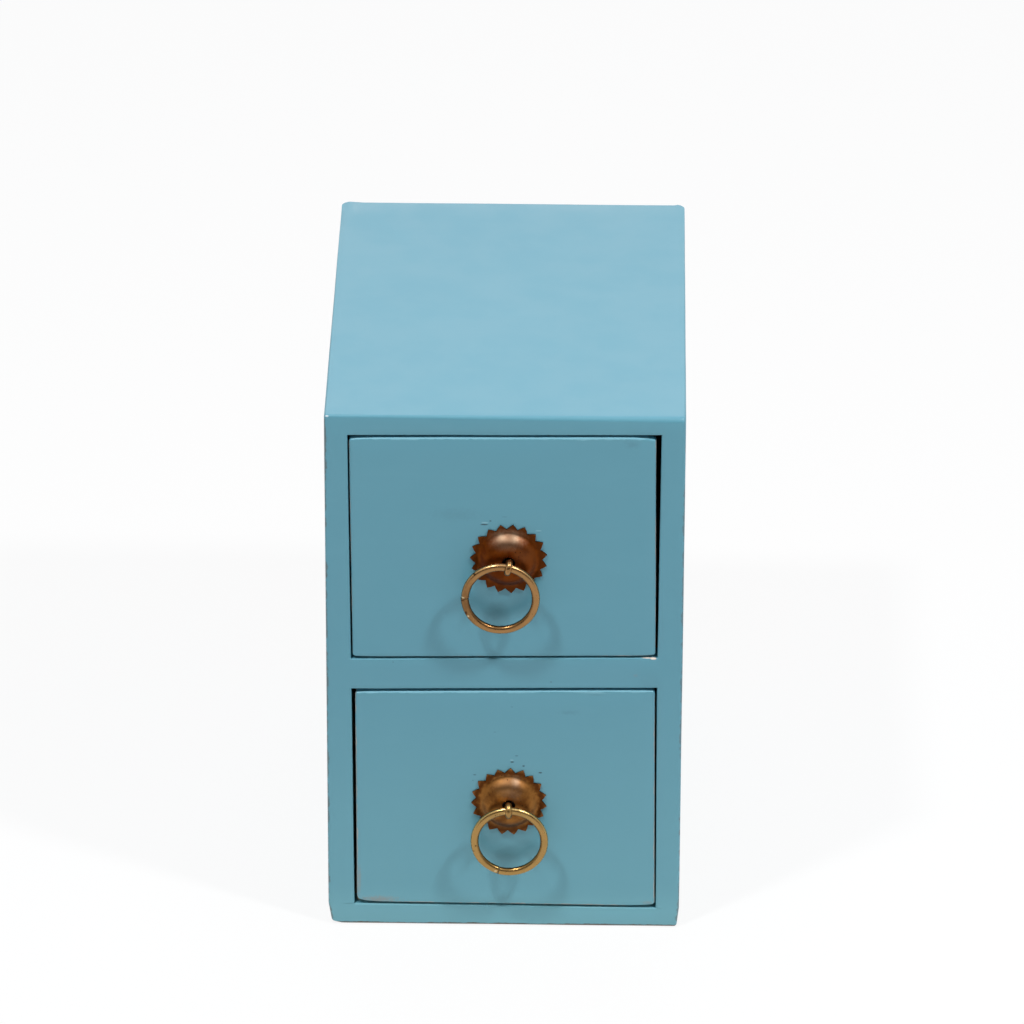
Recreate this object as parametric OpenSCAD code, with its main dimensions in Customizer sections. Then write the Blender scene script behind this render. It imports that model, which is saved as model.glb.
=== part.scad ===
// Small two-drawer tabletop chest: a painted wooden carcass, two inset drawers and two ring
// pulls hung from split pins on serrated brass rosettes. The boards were planed and fitted by
// hand, so the openings aren't quite square and each drawer front is cut to its own opening.
// Millimetres, +Z up, front towards -Y, origin at the centre of the underside.

/* [Carcass] */
// Width over the two sides
body_w = 150; // [120:1:240]
// Depth from the front edges to the back
body_d = 208; // [120:1:320]
// Height from the underside to the top
body_h = 243.8; // [226:0.1:320]
// Thickness of the top board at its middle
top_t = 8.7; // [6:0.1:16]
// Rise of the top board's underside from left to right
top_rise = 1.6; // [-2:0.1:2.5]
// Thickness of the bottom board at its middle
bottom_t = 9.6; // [7:0.1:16]
// Rise of the bottom board's upper face from left to right
bottom_rise = -0.9; // [-2.5:0.1:2]
// Thickness of the left side at its lower end
left_bottom_t = 11.1; // [8:0.1:16]
// Thickness of the left side at the divider
left_mid_t = 10.5; // [8:0.1:16]
// Thickness of the left side at its upper end
left_top_t = 9.7; // [8:0.1:16]
// Thickness of the right side at its lower end
right_bottom_t = 10; // [8:0.1:16]
// Thickness of the right side at the divider
right_mid_t = 10.7; // [8:0.1:16]
// Thickness of the right side at its upper end
right_top_t = 10; // [8:0.1:16]
// How far the bottom board's left end leans in at its foot
left_foot_wear = 1.4; // [0:0.1:2.5]
// How far the bottom board's right end leans in at its foot
right_foot_wear = 1; // [0:0.1:2.5]
// Rounding of the outer arrises
outer_arris_r = 1.2; // [0.4:0.1:2.5]
// Rounding of the chest's two rear corners, seen from above
rear_corner_r = 4.4; // [1.2:0.1:4.8]
// Rounding of the arrises round the two openings
opening_arris_r = 0.7; // [0.3:0.1:1.5]

/* [Divider and back] */
// Height of the divider's underside at its middle
divider_z = 115.6; // [100:0.1:124]
// Thickness of the divider
divider_t = 14.4; // [9:0.1:20]
// Rise of the divider from left to right
divider_rise = 2.1; // [-2.5:0.1:2.5]
// Depth of the housings that hold the divider's ends
housing_d = 3; // [1.5:0.1:5]
// Thickness of the back panel
back_t = 3; // [2:0.1:6]
// Width of the rabbet that the back panel lies in
rabbet_w = 4.5; // [3:0.1:6]
// Gap all round the back panel in its rabbet
back_gap = 0.3; // [0.1:0.1:0.8]

/* [Drawer fronts] */
// Thickness of a drawer front
front_t = 9.5; // [8:0.1:14]
// Gap above each drawer front
front_gap_top = 1.1; // [0.5:0.1:2.5]
// Gap below each drawer front
front_gap_bottom = 0.9; // [0.3:0.1:2]
// Gap left of the upper front, at its top
upper_gap_left_top = 0.7; // [0.6:0.1:3]
// Gap left of the upper front, at its bottom
upper_gap_left_bottom = 0.7; // [0.6:0.1:3]
// Gap right of the upper front, at its top
upper_gap_right_top = 2.4; // [0.6:0.1:3]
// Gap right of the upper front, at its bottom
upper_gap_right_bottom = 0.8; // [0.6:0.1:3]
// Gap left of the lower front, at its top
lower_gap_left_top = 1.6; // [0.6:0.1:3]
// Gap left of the lower front, at its bottom
lower_gap_left_bottom = 1.2; // [0.6:0.1:3]
// Gap right of the lower front, at its top
lower_gap_right_top = 0.9; // [0.6:0.1:3]
// Gap right of the lower front, at its bottom
lower_gap_right_bottom = 0.6; // [0.6:0.1:3]
// Rounding of a front's arrises
front_arris_r = 1; // [0.4:0.1:1.1]
// Rounding of the upper front's corners: lower left, lower right, upper right, upper left
upper_corner_r = [1.3, 1.2, 1.4, 1.2]; // [1.1:0.1:3]
// Rounding of the lower front's corners, in the same order
lower_corner_r = [2.4, 1.5, 1.3, 1.3]; // [1.1:0.1:3]
// Wear of the upper front's long edges at those corners
upper_wear = [0.4, 0.4, 0.9, 0.5]; // [0:0.1:1.2]
// Wear of the lower front's long edges at those corners
lower_wear = [0.8, 0.6, 0.2, 0.3]; // [0:0.1:1.2]
// Length over which that wear runs out
wear_run = 14; // [6:1:25]

/* [Drawer boxes] */
// Thickness of the drawer sides and backs
box_t = 6; // [5:0.1:9]
// Thickness of the drawer bottoms
ply_t = 3; // [2:0.1:4]
// Depth of the grooves that hold the drawer bottoms
groove_d = 3; // [2:0.1:4]
// Height of the grooves above the lower edges of the drawer sides
groove_z = 4; // [3:0.1:8]
// Fit of a drawer bottom in its grooves
groove_fit = 0.1; // [0.05:0.05:0.3]
// Gap between a drawer box and the sides of the carcass
box_side_gap = 1.3; // [0.8:0.1:3]
// Gap between a drawer box and the board above it
box_top_gap = 4; // [2.5:0.1:8]
// Clearance under the drawer sides, where they run
runner_gap = 0.1; // [0.05:0.05:0.3]
// Wood left in front of the drawer sides, at the ends of a front
front_lip = 3.5; // [2.5:0.1:5]
// Gap between a closed drawer and the back panel that stops it
stop_gap = 0.3; // [0.2:0.1:2]
// How far the drawer backs stop below the drawer sides
back_drop = 5; // [2:0.1:12]

/* [Pulls] */
// Upper pull, to the right of the middle of the chest
upper_pull_x = 1.7; // [-8:0.1:8]
// Upper pull, below the middle of its opening
upper_pull_drop = 4.9; // [-6:0.1:8]
// Upper pull, turn of the pin in the front
upper_pull_turn = 12.5; // [-25:0.5:25]
// Lower pull, to the right of the middle of the chest
lower_pull_x = 2.1; // [-8:0.1:8]
// Lower pull, below the middle of its opening
lower_pull_drop = 1.4; // [-6:0.1:8]
// Lower pull, turn of the pin in the front
lower_pull_turn = -1.5; // [-25:0.5:25]
// Diameter of a rosette over its teeth
rosette_d = 32.4; // [28:0.1:40]
// Number of teeth round a rosette
teeth = 19; // [12:1:28]
// Depth of the teeth
tooth_depth = 2.3; // [1:0.1:3]
// Angle of one tooth of the upper rosette
upper_tooth_turn = 84.3; // [80:0.1:99]
// Angle of one tooth of the lower rosette
lower_tooth_turn = 88; // [80:0.1:99]
// Diameter of a rosette's dome, where it meets the rim
dome_d = 25.8; // [20:0.1:27]
// Height of a rosette's dome above its rim
dome_h = 3.3; // [2:0.1:4]
// Fullness of the dome: 2 is evenly domed, 4 is flat with steep shoulders
dome_fullness = 3; // [2:0.1:4]
// Thickness of the rosette's brass
sheet_t = 0.8; // [0.5:0.05:1.2]
// Diameter of the hole in the top of the dome
dome_hole_d = 5.6; // [4.5:0.1:7]
// Width of the half-round wire that the split pins are folded from
pin_wire_w = 2.8; // [2:0.1:3.4]
// Gap between a split pin's legs and its hole in the front
pin_hole_gap = 0.2; // [0.1:0.05:0.5]
// Gap round a ring in its eye
eye_gap = 0.45; // [0.35:0.05:0.8]
// Distance from a drawer front to the middle of the eye
eye_reach = 8.3; // [7.8:0.1:11]
// Length of a split pin's legs behind the front
leg_l = 11; // [7:0.1:16]
// Slit left between the two legs
leg_slit = 0.1; // [0.05:0.05:0.3]
// Width of the crotch where the legs part behind the eye
crotch_w = 1.4; // [0.8:0.1:1.8]
// Height of the splayed legs above the front's inner face
leg_lift = 0.1; // [0.05:0.05:0.3]
// Diameter of a ring over its outside
ring_d = 33; // [28:0.1:40]
// Height of the ring's wire, seen from the front
ring_wire_d = 3.4; // [2.6:0.1:4.2]
// Thickness of the ring over its flattened faces
ring_flat_t = 2.8; // [2:0.1:4]
// Width of the seam where the ring's ends meet
seam_w = 0.15; // [0.05:0.05:0.4]
// Place of the seam on the upper ring
upper_seam_turn = 191; // [110:1:250]
// Place of the seam on the lower ring
lower_seam_turn = 250; // [110:1:250]

/* [Nails] */
// Diameter of the panel pins
nail_d = 1.2; // [0.9:0.1:1.6]
// Diameter of the panel pins' heads
nail_head_d = 2.2; // [1.8:0.1:3]
// Thickness of the panel pins' heads
nail_head_t = 0.6; // [0.4:0.1:1]
// Length of the panel pins in the carcass
carcass_nail_l = 24; // [18:1:32]
// Length of the panel pins in the back panel
back_nail_l = 14; // [8:1:18]
// Length of the panel pins in the drawers
drawer_nail_l = 15; // [11:1:20]
// Depth at which the filled-over heads lie
nail_sink = 1.5; // [0.5:0.1:3]
// Distance of the outermost carcass nails from the front and back
nail_inset = 28; // [12:1:50]
// Gap round each panel pin
nail_gap = 0.05; // [0.02:0.01:0.1]

/* [Hidden] */
$fn = 64;
UPPER = 0;
LOWER = 1;
// How far a cutter runs past the wood that it cuts
cut_over = 0.5;

// Front and back planes, and the faces of the carcass boards
front_y = -body_d / 2;
rear_y = body_d / 2;
rebate_y = rear_y - back_t;
top_z = body_h - top_t;
divider_top_z = divider_z + divider_t;
divider_mid_z = divider_z + divider_t / 2;
function on_slope(z, rise, x) = z + rise * x / body_w;
function bottom_face(x) = on_slope(bottom_t, bottom_rise, x);
function divider_under(x) = on_slope(divider_z, divider_rise, x);
function divider_over(x) = on_slope(divider_top_z, divider_rise, x);
function top_face(x) = on_slope(top_z, top_rise, x);
function left_face(z) = -body_w / 2 + lookup(z,
  [[bottom_t, left_bottom_t], [divider_mid_z, left_mid_t], [top_z, left_top_t]]);
function right_face(z) = body_w / 2 - lookup(z,
  [[bottom_t, right_bottom_t], [divider_mid_z, right_mid_t], [top_z, right_top_t]]);

// Corners of an opening or front as [x, z], from the lower left, anticlockwise from the front
function left_corner(z, rise) = let(x = left_face(z)) [x, on_slope(z, rise, x)];
function right_corner(z, rise) = let(x = right_face(z)) [x, on_slope(z, rise, x)];
openings = [
  [left_corner(divider_top_z, divider_rise), right_corner(divider_top_z, divider_rise),
   right_corner(top_z, top_rise), left_corner(top_z, top_rise)],
  [left_corner(bottom_t, bottom_rise), right_corner(bottom_t, bottom_rise),
   right_corner(divider_z, divider_rise), left_corner(divider_z, divider_rise)]
];
side_gaps = [
  [upper_gap_left_bottom, upper_gap_right_bottom, upper_gap_right_top, upper_gap_left_top],
  [lower_gap_left_bottom, lower_gap_right_bottom, lower_gap_right_top, lower_gap_left_top]
];
function front_corners(which) = let(o = openings[which], g = side_gaps[which]) [
  [o[0].x + g[0], o[0].y + front_gap_bottom],
  [o[1].x - g[1], o[1].y + front_gap_bottom],
  [o[2].x - g[2], o[2].y - front_gap_top],
  [o[3].x + g[3], o[3].y - front_gap_top]
];
corner_r = [upper_corner_r, lower_corner_r];
corner_wear = [upper_wear, lower_wear];
outline = [[-body_w / 2, 0], [body_w / 2, 0], [body_w / 2, body_h], [-body_w / 2, body_h]];

// Drawer boxes: each one stands square on the board that it runs on
floor_z = [divider_top_z, bottom_t];
floor_rise = [divider_rise, bottom_rise];
ceiling_z = [top_z, divider_z];
ceiling_rise = [top_rise, divider_rise];
box_half = body_w / 2 - box_side_gap
  - max(left_bottom_t, left_mid_t, left_top_t, right_bottom_t, right_mid_t, right_top_t);
function box_tilt(which) = atan(floor_rise[which] / body_w);
function box_h(which) = ceiling_z[which] - floor_z[which] - box_top_gap
  - abs(ceiling_rise[which] - floor_rise[which]) / 2;
box_front_y = front_y + front_lip;
box_inner_y = front_y + front_t;
box_rear_y = rebate_y - stop_gap;
box_l = box_rear_y - box_front_y;

// Pulls
pulls = [
  [upper_pull_x, (openings[0][0].y + openings[0][1].y + openings[0][2].y + openings[0][3].y) / 4
    - upper_pull_drop],
  [lower_pull_x, (openings[1][0].y + openings[1][1].y + openings[1][2].y + openings[1][3].y) / 4
    - lower_pull_drop]
];
pull_turn = [upper_pull_turn, lower_pull_turn];
tooth_turn = [upper_tooth_turn, lower_tooth_turn];
seam_turn = [upper_seam_turn, lower_seam_turn];
wire_t = pin_wire_w / 2;
eye_r = ring_wire_d / 2 + eye_gap;
eye_rest = eye_gap / 3;
leg_bend_r = pin_hole_gap + leg_lift;
ring_r = (ring_d - ring_wire_d) / 2;

// Colours
paint = [0.42, 0.65, 0.73];
bare_wood = [0.80, 0.67, 0.48];
ply = [0.74, 0.60, 0.42];
dark_brass = [0.42, 0.26, 0.12];
bright_brass = [0.78, 0.60, 0.34];
steel = [0.60, 0.60, 0.60];

// Extrudes an outline of [x, z] points from y0 towards the back
module slab(points, y0, t) {
  translate([0, y0 + t, 0]) rotate([90, 0, 0]) linear_extrude(t) polygon(points);
}

// What a rounded arris takes off a square edge that lies along Z, with the wood at +X +Y
module arris(l, r) {
  linear_extrude(l) difference() {
    translate([-cut_over, -cut_over]) square(r + cut_over);
    translate([r, r]) circle(r);
  }
}

// Arrises along the front plane, round a loop of [x, z] points with the wood on its right
module front_arrises(loop, r, over = 0) {
  for (i = [0 : len(loop) - 1]) {
    a = loop[i];
    step = loop[(i + 1) % len(loop)] - a;
    translate([a.x, front_y, a.y]) rotate([0, 90 - atan2(step.y, step.x), 0])
      translate([0, 0, -over]) arris(norm(step) + 2 * over, r);
  }
}

// Arrises that run from front to back at the corners of a clockwise loop of [x, z] points
module corner_arrises(loop, r, y0, l) {
  for (i = [0 : len(loop) - 1]) {
    a = loop[i];
    step = loop[(i + 1) % len(loop)] - a;
    translate([a.x, y0 - cut_over, a.y]) rotate([0, -atan2(step.y, step.x), 0])
      rotate([-90, 0, 0]) arris(l + 2 * cut_over, r);
  }
}

function reversed(list) = [for (i = [len(list) - 1 : -1 : 0]) list[i]];

module carcass_arrises() {
  loop = reversed(outline);
  front_arrises(loop, outer_arris_r, cut_over);
  mirror([0, 1, 0]) front_arrises(loop, outer_arris_r, cut_over);
  corner_arrises(loop, outer_arris_r, front_y, body_d);
  for (side = [-1, 1]) translate([side * body_w / 2, rear_y, -cut_over])
    rotate([0, 0, 45 + 135 * side]) arris(body_h + 2 * cut_over, rear_corner_r);
  for (opening = openings) front_arrises(opening, opening_arris_r);
}

// A round-headed panel pin, driven along -Z with the top of its head at the origin
module nail(l, gap = 0) {
  translate([0, 0, -l]) cylinder(d = nail_d + 2 * gap, h = l);
  translate([0, 0, -nail_head_t]) cylinder(d = nail_head_d + 2 * gap, h = nail_head_t + gap);
}

// Nails through the top and bottom boards into the sides, and through the sides into the divider
module carcass_nails(gap = 0) {
  spread = body_d / 2 - nail_inset;
  upper_t = [left_top_t, right_top_t];
  lower_t = [left_bottom_t, right_bottom_t];
  for (i = [0, 1]) {
    side = 2 * i - 1;
    for (y = [-spread, 0, spread]) {
      translate([side * (body_w - upper_t[i]) / 2, y, body_h - nail_sink])
        nail(carcass_nail_l, gap);
      translate([side * (body_w - lower_t[i]) / 2, y, nail_sink])
        mirror([0, 0, 1]) nail(carcass_nail_l, gap);
    }
    for (y = [-spread, spread])
      translate([side * (body_w / 2 - nail_sink), y,
        on_slope(divider_mid_z, divider_rise, side * body_w / 2)])
        rotate([0, 90 * side, 0]) nail(carcass_nail_l, gap);
  }
}

// Where the back panel lies: the rabbet cut in the carcass, or the panel itself with its gap
function rabbet_outline(gap) = [
  [left_face(bottom_t) - rabbet_w + gap, bottom_face(-body_w / 2) - rabbet_w + gap],
  [right_face(bottom_t) + rabbet_w - gap, bottom_face(body_w / 2) - rabbet_w + gap],
  [right_face(top_z) + rabbet_w - gap, top_face(body_w / 2) + rabbet_w - gap],
  [left_face(top_z) - rabbet_w + gap, top_face(-body_w / 2) + rabbet_w - gap]
];

module back_rabbet() {
  slab(rabbet_outline(0), rebate_y, back_t + 1);
}

// Nails through the edge of the back panel into the sides, top and bottom
module back_nails(gap = 0) {
  p = rabbet_outline((rabbet_w + back_gap) / 2);
  for (i = [0 : 3]) {
    step = p[(i + 1) % 4] - p[i];
    places = i % 2 == 0 ? [0.08, 0.5, 0.92] : [0.08, 0.36, 0.64, 0.92];
    for (f = places) {
      q = p[i] + f * step;
      translate([q.x, rear_y, q.y]) rotate([-90, 0, 0]) nail(back_nail_l, gap);
    }
  }
}

module top_panel() {
  color(paint) difference() {
    slab([[-body_w / 2, top_face(-body_w / 2)], [body_w / 2, top_face(body_w / 2)],
      [body_w / 2, body_h], [-body_w / 2, body_h]], front_y, body_d);
    back_rabbet();
    carcass_arrises();
    carcass_nails(nail_gap);
    back_nails(nail_gap);
  }
}

module bottom_panel() {
  color(paint) difference() {
    slab([[-body_w / 2 + left_foot_wear, 0], [body_w / 2 - right_foot_wear, 0],
      [body_w / 2, bottom_face(body_w / 2)], [-body_w / 2, bottom_face(-body_w / 2)]],
      front_y, body_d);
    back_rabbet();
    carcass_arrises();
    carcass_nails(nail_gap);
    back_nails(nail_gap);
  }
}

// One side board, between the top and bottom boards; x_at gives its inner face's three places
module side_board(outer_x, x_at) {
  difference() {
    slab([[outer_x, bottom_face(outer_x)], [x_at[0], bottom_face(x_at[0])],
      [x_at[1], divider_mid_z], [x_at[2], top_face(x_at[2])], [outer_x, top_face(outer_x)]],
      front_y, body_d);
    divider_board();
    back_rabbet();
    carcass_arrises();
    carcass_nails(nail_gap);
    back_nails(nail_gap);
  }
}

module left_side() {
  color(paint) side_board(-body_w / 2,
    [-body_w / 2 + left_bottom_t, -body_w / 2 + left_mid_t, -body_w / 2 + left_top_t]);
}

module right_side() {
  color(paint) side_board(body_w / 2,
    [body_w / 2 - right_bottom_t, body_w / 2 - right_mid_t, body_w / 2 - right_top_t]);
}

// The divider's outline with its ends in the housings; the sides are cut with it too
module divider_board() {
  x0 = -body_w / 2 + left_mid_t - housing_d;
  x1 = body_w / 2 - right_mid_t + housing_d;
  slab([[x0, divider_under(x0)], [x1, divider_under(x1)], [x1, divider_over(x1)],
    [x0, divider_over(x0)]], front_y, rebate_y - front_y);
}

module divider() {
  color(paint) difference() {
    divider_board();
    carcass_arrises();
    carcass_nails(nail_gap);
  }
}

module carcass_pins() {
  color(steel) carcass_nails();
}

module back_panel() {
  color(ply) difference() {
    slab(rabbet_outline(back_gap), rebate_y, back_t);
    back_nails(nail_gap);
  }
}

module back_panel_pins() {
  color(steel) back_nails();
}

// Places a drawer box: its own X runs along the board under it, Z is up from the runners
module box_place(which) {
  translate([0, 0, floor_z[which]]) rotate([0, -box_tilt(which), 0])
    translate([0, 0, runner_gap]) children();
}

// Nails through the drawer sides into the front and the back, and up through the bottom
module drawer_nails(which, gap = 0) {
  h = box_h(which);
  front_nail_y = (box_front_y + box_inner_y) / 2;
  back_nail_y = box_rear_y - box_t / 2;
  box_place(which) {
    for (side = [-1, 1]) {
      for (f = [0.2, 0.5, 0.8])
        translate([side * box_half, front_nail_y, h * f]) rotate([0, 90 * side, 0])
          nail(drawer_nail_l, gap);
      for (f = [0.3, 0.75])
        translate([side * box_half, back_nail_y, h * f]) rotate([0, 90 * side, 0])
          nail(drawer_nail_l, gap);
      translate([side * box_half / 2, back_nail_y, groove_z + groove_fit]) mirror([0, 0, 1])
        nail(drawer_nail_l, gap);
    }
  }
}

// The drawer bottom's place, or with gap 0 the room that its grooves take
module bottom_place(which, fit) {
  half = box_half - box_t + groove_d - 2 * fit;
  box_place(which)
    translate([-half, box_inner_y - groove_d + 2 * fit, groove_z + fit])
      cube([2 * half, box_rear_y - box_inner_y + groove_d - 2 * fit, ply_t]);
}

module bottom_groove(which) {
  half = box_half - box_t + groove_d;
  box_place(which)
    translate([-half, box_inner_y - groove_d, groove_z])
      cube([2 * half, box_rear_y - box_inner_y + groove_d + 1, ply_t + 2 * groove_fit]);
}

// A disc that rounds a front's corner of radius r, with the front arris on its rim
module corner_disc(r) {
  rotate([90, 0, 0]) {
    cylinder(r = r, h = front_t - front_arris_r, $fn = 32);
    translate([0, 0, front_t - front_arris_r]) rotate_extrude($fn = 32) intersection() {
      union() {
        translate([r - front_arris_r, 0]) circle(front_arris_r, $fn = 32);
        square([r - front_arris_r, front_arris_r]);
      }
      square(r);
    }
  }
}

// A flat plate in its opening's shape, its corners and front arrises rounded, its long edges
// worn down a little towards the corners
module rounded_front(which) {
  corners = front_corners(which);
  inward = [[1, 1], [-1, 1], [-1, -1], [1, -1]];
  across = [1, 0, 3, 2];
  hull() for (i = [0 : 3]) {
    r = corner_r[which][i];
    step = corners[across[i]] - corners[i];
    worn = corners[i] + [inward[i].x * r, inward[i].y * (r + corner_wear[which][i])];
    full = corners[i] + wear_run * step / norm(step) + [0, inward[i].y * r];
    for (p = [worn, full])
      translate([p.x, front_y + front_t, p.y]) corner_disc(r);
  }
}

module drawer_front(which) {
  inner_half = box_half - box_t;
  pull = pulls[which];
  color(paint) difference() {
    rounded_front(which);
    box_place(which) for (x = [-inner_half - 2 * box_t, inner_half])
      translate([x, box_front_y, -box_t]) cube([2 * box_t, front_t, body_h]);
    bottom_groove(which);
    drawer_nails(which, nail_gap);
    translate([pull.x, front_y - 1, pull.y]) rotate([-90, 0, 0])
      cylinder(d = pin_wire_w + 2 * pin_hole_gap, h = front_t + 2);
  }
}

// side is -1 for the left board and 1 for the right one
module drawer_side(which, side) {
  color(bare_wood) difference() {
    box_place(which)
      translate([side < 0 ? -box_half : box_half - box_t, box_front_y, 0])
        cube([box_t, box_l, box_h(which)]);
    bottom_groove(which);
    drawer_nails(which, nail_gap);
  }
}

module drawer_back(which) {
  z0 = groove_z + ply_t + 2 * groove_fit;
  color(bare_wood) difference() {
    box_place(which)
      translate([-box_half + box_t, box_rear_y - box_t, z0])
        cube([2 * (box_half - box_t), box_t, box_h(which) - back_drop - z0]);
    drawer_nails(which, nail_gap);
  }
}

module drawer_bottom(which) {
  color(ply) difference() {
    bottom_place(which, groove_fit);
    drawer_nails(which, nail_gap);
  }
}

module drawer_pins(which) {
  color(steel) drawer_nails(which);
}

// Places a pull: its own Z runs out of the drawer front, its Y is up
module pull_place(which, turn = 0) {
  translate([pulls[which].x, front_y, pulls[which].y]) rotate([0, turn, 0])
    rotate([90, 0, 0]) children();
}

// A star with one tooth at angle first
module toothed_disc(first) {
  pitch = 360 / teeth;
  polygon([for (i = [0 : teeth - 1], half = [0, 1])
    let(a = first + (i + half / 2) * pitch, r = rosette_d / 2 - half * tooth_depth)
      r * [cos(a), sin(a)]]);
}

// Height of the dome at radius r: level at its middle, steepest at its shoulder, and level
// again where it runs out into the rim
function dome_z(r) = dome_h * (1 + cos(180 * pow(2 * r / dome_d, dome_fullness))) / 2;

// Domed sheet brass: the rim is flat and toothed, the dome is hollow and holed at its top
module rosette(which) {
  steps = 22;
  r0 = dome_hole_d / 2;
  run = [for (i = [0 : steps]) r0 + (dome_d / 2 - r0) * i / steps];
  color(dark_brass) pull_place(which) {
    difference() {
      linear_extrude(sheet_t) toothed_disc(tooth_turn[which]);
      translate([0, 0, -1]) cylinder(d = dome_d, h = sheet_t + 2);
    }
    rotate_extrude() polygon(concat(
      [for (r = run) [r, sheet_t + dome_z(r)]],
      [for (i = [steps : -1 : 0]) [run[i], dome_z(run[i])]]));
  }
}

// Half-round wire in section, its round side towards +X and its flat side at x = flat
module half_round(flat = 0) {
  intersection() {
    circle(d = pin_wire_w);
    translate([flat, -pin_wire_w]) square(2 * pin_wire_w);
  }
}

// One leg of a split pin, in a plane where X runs out of the drawer front and Y is up: the
// straight part through the front and the end splayed out behind it
module pin_leg() {
  flat = leg_slit / 2;
  bend_at = leg_bend_r - front_t - leg_lift;
  splay_y = wire_t + leg_bend_r;
  root_at = eye_reach - eye_r - wire_t / 4;
  translate([bend_at, 0]) rotate([0, 90, 0]) linear_extrude(root_at - bend_at)
    rotate(90) half_round(flat);
  translate([bend_at, splay_y]) rotate([0, 0, 180]) rotate_extrude(angle = 90)
    translate([splay_y, 0]) mirror([1, 0]) half_round(flat);
  translate([bend_at - splay_y, splay_y]) rotate([-90, 0, 0])
    linear_extrude(leg_l) half_round(flat);
}

// A half-round wire folded into an eye, its two legs side by side through the front; the
// crotch is where the legs part behind the eye
module split_pin(which) {
  crotch_from = eye_reach - eye_r;
  crotch_to = crotch_from - wire_t;
  color(bright_brass) pull_place(which, pull_turn[which]) rotate([0, -90, 0]) difference() {
    union() {
      translate([eye_reach, 0]) rotate_extrude() translate([eye_r, 0]) half_round();
      pin_leg();
      mirror([0, 1, 0]) pin_leg();
    }
    linear_extrude(2 * pin_wire_w, center = true)
      polygon([[crotch_from + eye_r / 2, crotch_w / 2], [crotch_from, crotch_w / 2],
        [crotch_to, leg_slit / 2], [crotch_to, -leg_slit / 2],
        [crotch_from, -crotch_w / 2], [crotch_from + eye_r / 2, -crotch_w / 2]]);
  }
}

// A ring of wire with flattened faces, butted at its seam and hung in the eye
module ring(which) {
  color(bright_brass) pull_place(which, pull_turn[which])
    translate([0, -eye_rest - ring_r, eye_reach]) difference() {
      rotate_extrude() translate([ring_r, 0]) intersection() {
        circle(d = ring_wire_d);
        square([2 * ring_wire_d, ring_flat_t], center = true);
      }
      rotate([0, 0, seam_turn[which]]) translate([ring_r, 0, 0])
        cube([2 * ring_wire_d, seam_w, 2 * ring_wire_d], center = true);
    }
}

top_panel();
bottom_panel();
left_side();
right_side();
divider();
carcass_pins();
back_panel();
back_panel_pins();
drawer_front(UPPER);  // upper_drawer_front
drawer_side(UPPER, -1);  // upper_drawer_left
drawer_side(UPPER, 1);  // upper_drawer_right
drawer_back(UPPER);  // upper_drawer_back
drawer_bottom(UPPER);  // upper_drawer_bottom
drawer_pins(UPPER);  // upper_drawer_pins
rosette(UPPER);  // upper_rosette
split_pin(UPPER);  // upper_split_pin
ring(UPPER);  // upper_ring
drawer_front(LOWER);  // lower_drawer_front
drawer_side(LOWER, -1);  // lower_drawer_left
drawer_side(LOWER, 1);  // lower_drawer_right
drawer_back(LOWER);  // lower_drawer_back
drawer_bottom(LOWER);  // lower_drawer_bottom
drawer_pins(LOWER);  // lower_drawer_pins
rosette(LOWER);  // lower_rosette
split_pin(LOWER);  // lower_split_pin
ring(LOWER);  // lower_ring
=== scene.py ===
"""Looks for a small two-drawer tabletop chest.

Painted boards, bare drawer boxes, domed brass rosettes and brass ring pulls, built around the
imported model. Metres, +Z up, front towards -Y, origin at the centre of the underside.
"""

from __future__ import annotations

import logging
import math
import random
from collections.abc import Callable, Iterable, Sequence
from contextlib import contextmanager
from dataclasses import dataclass, field, replace
from enum import Enum
from typing import ClassVar, Iterator

import bmesh
import bpy
from mathutils import Matrix, Vector, noise


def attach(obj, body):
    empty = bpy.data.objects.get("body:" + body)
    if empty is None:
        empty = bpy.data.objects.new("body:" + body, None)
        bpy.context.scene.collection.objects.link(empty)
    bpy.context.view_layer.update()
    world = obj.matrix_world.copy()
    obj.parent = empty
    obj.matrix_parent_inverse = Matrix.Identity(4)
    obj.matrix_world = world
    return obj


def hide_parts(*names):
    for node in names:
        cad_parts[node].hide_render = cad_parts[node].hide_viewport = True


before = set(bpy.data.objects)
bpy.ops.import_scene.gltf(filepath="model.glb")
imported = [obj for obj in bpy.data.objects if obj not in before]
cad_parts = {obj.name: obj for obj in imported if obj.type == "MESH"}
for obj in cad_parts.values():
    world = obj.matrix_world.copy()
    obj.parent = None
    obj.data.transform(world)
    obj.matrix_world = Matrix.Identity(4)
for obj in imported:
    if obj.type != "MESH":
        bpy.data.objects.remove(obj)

logging.basicConfig(level=logging.INFO, format="%(name)s: %(message)s")
log = logging.getLogger("chest")

MM = 0.001
# Points that are nearer than this are in one place
TOUCH = 0.01 * MM
# The boards are cut into squares of this size before they are planed into waves
PLANED_STEP = 9 * MM
# Blender's vector noise takes a new offset from the clock in every run that has no seed
WAVE_SEED = 1
Colour = tuple[float, float, float]
Point = tuple[float, float, float]
WHITE: Colour = (1, 1, 1)


class Drawer(Enum):
    """The two drawers, by the name that starts their pieces' names."""

    UPPER = "upper"
    LOWER = "lower"


# Where each pull's pin goes through its drawer front, as (x, z)
PULL_PLACES = {
    Drawer.UPPER: (1.7 * MM, 177.647 * MM),
    Drawer.LOWER: (2.1 * MM, 61.198 * MM),
}


class Slot(Enum):
    """The record's material slots."""

    PAINT = "blue_paint"
    WOOD = "bare_wood"
    PLY = "plywood"
    DARK_BRASS = "aged_brass"
    BRIGHT_BRASS = "bright_brass"
    STEEL = "steel_pin"


class Pick(Enum):
    """What a selection in edit mode is made of."""

    VERT = "VERT"
    EDGE = "EDGE"
    FACE = "FACE"


# ---- Modelling bench


def deselect_all() -> None:
    """Leaves nothing selected, so that the next operator acts on its own piece alone."""
    bpy.ops.object.select_all(action="DESELECT")


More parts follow.
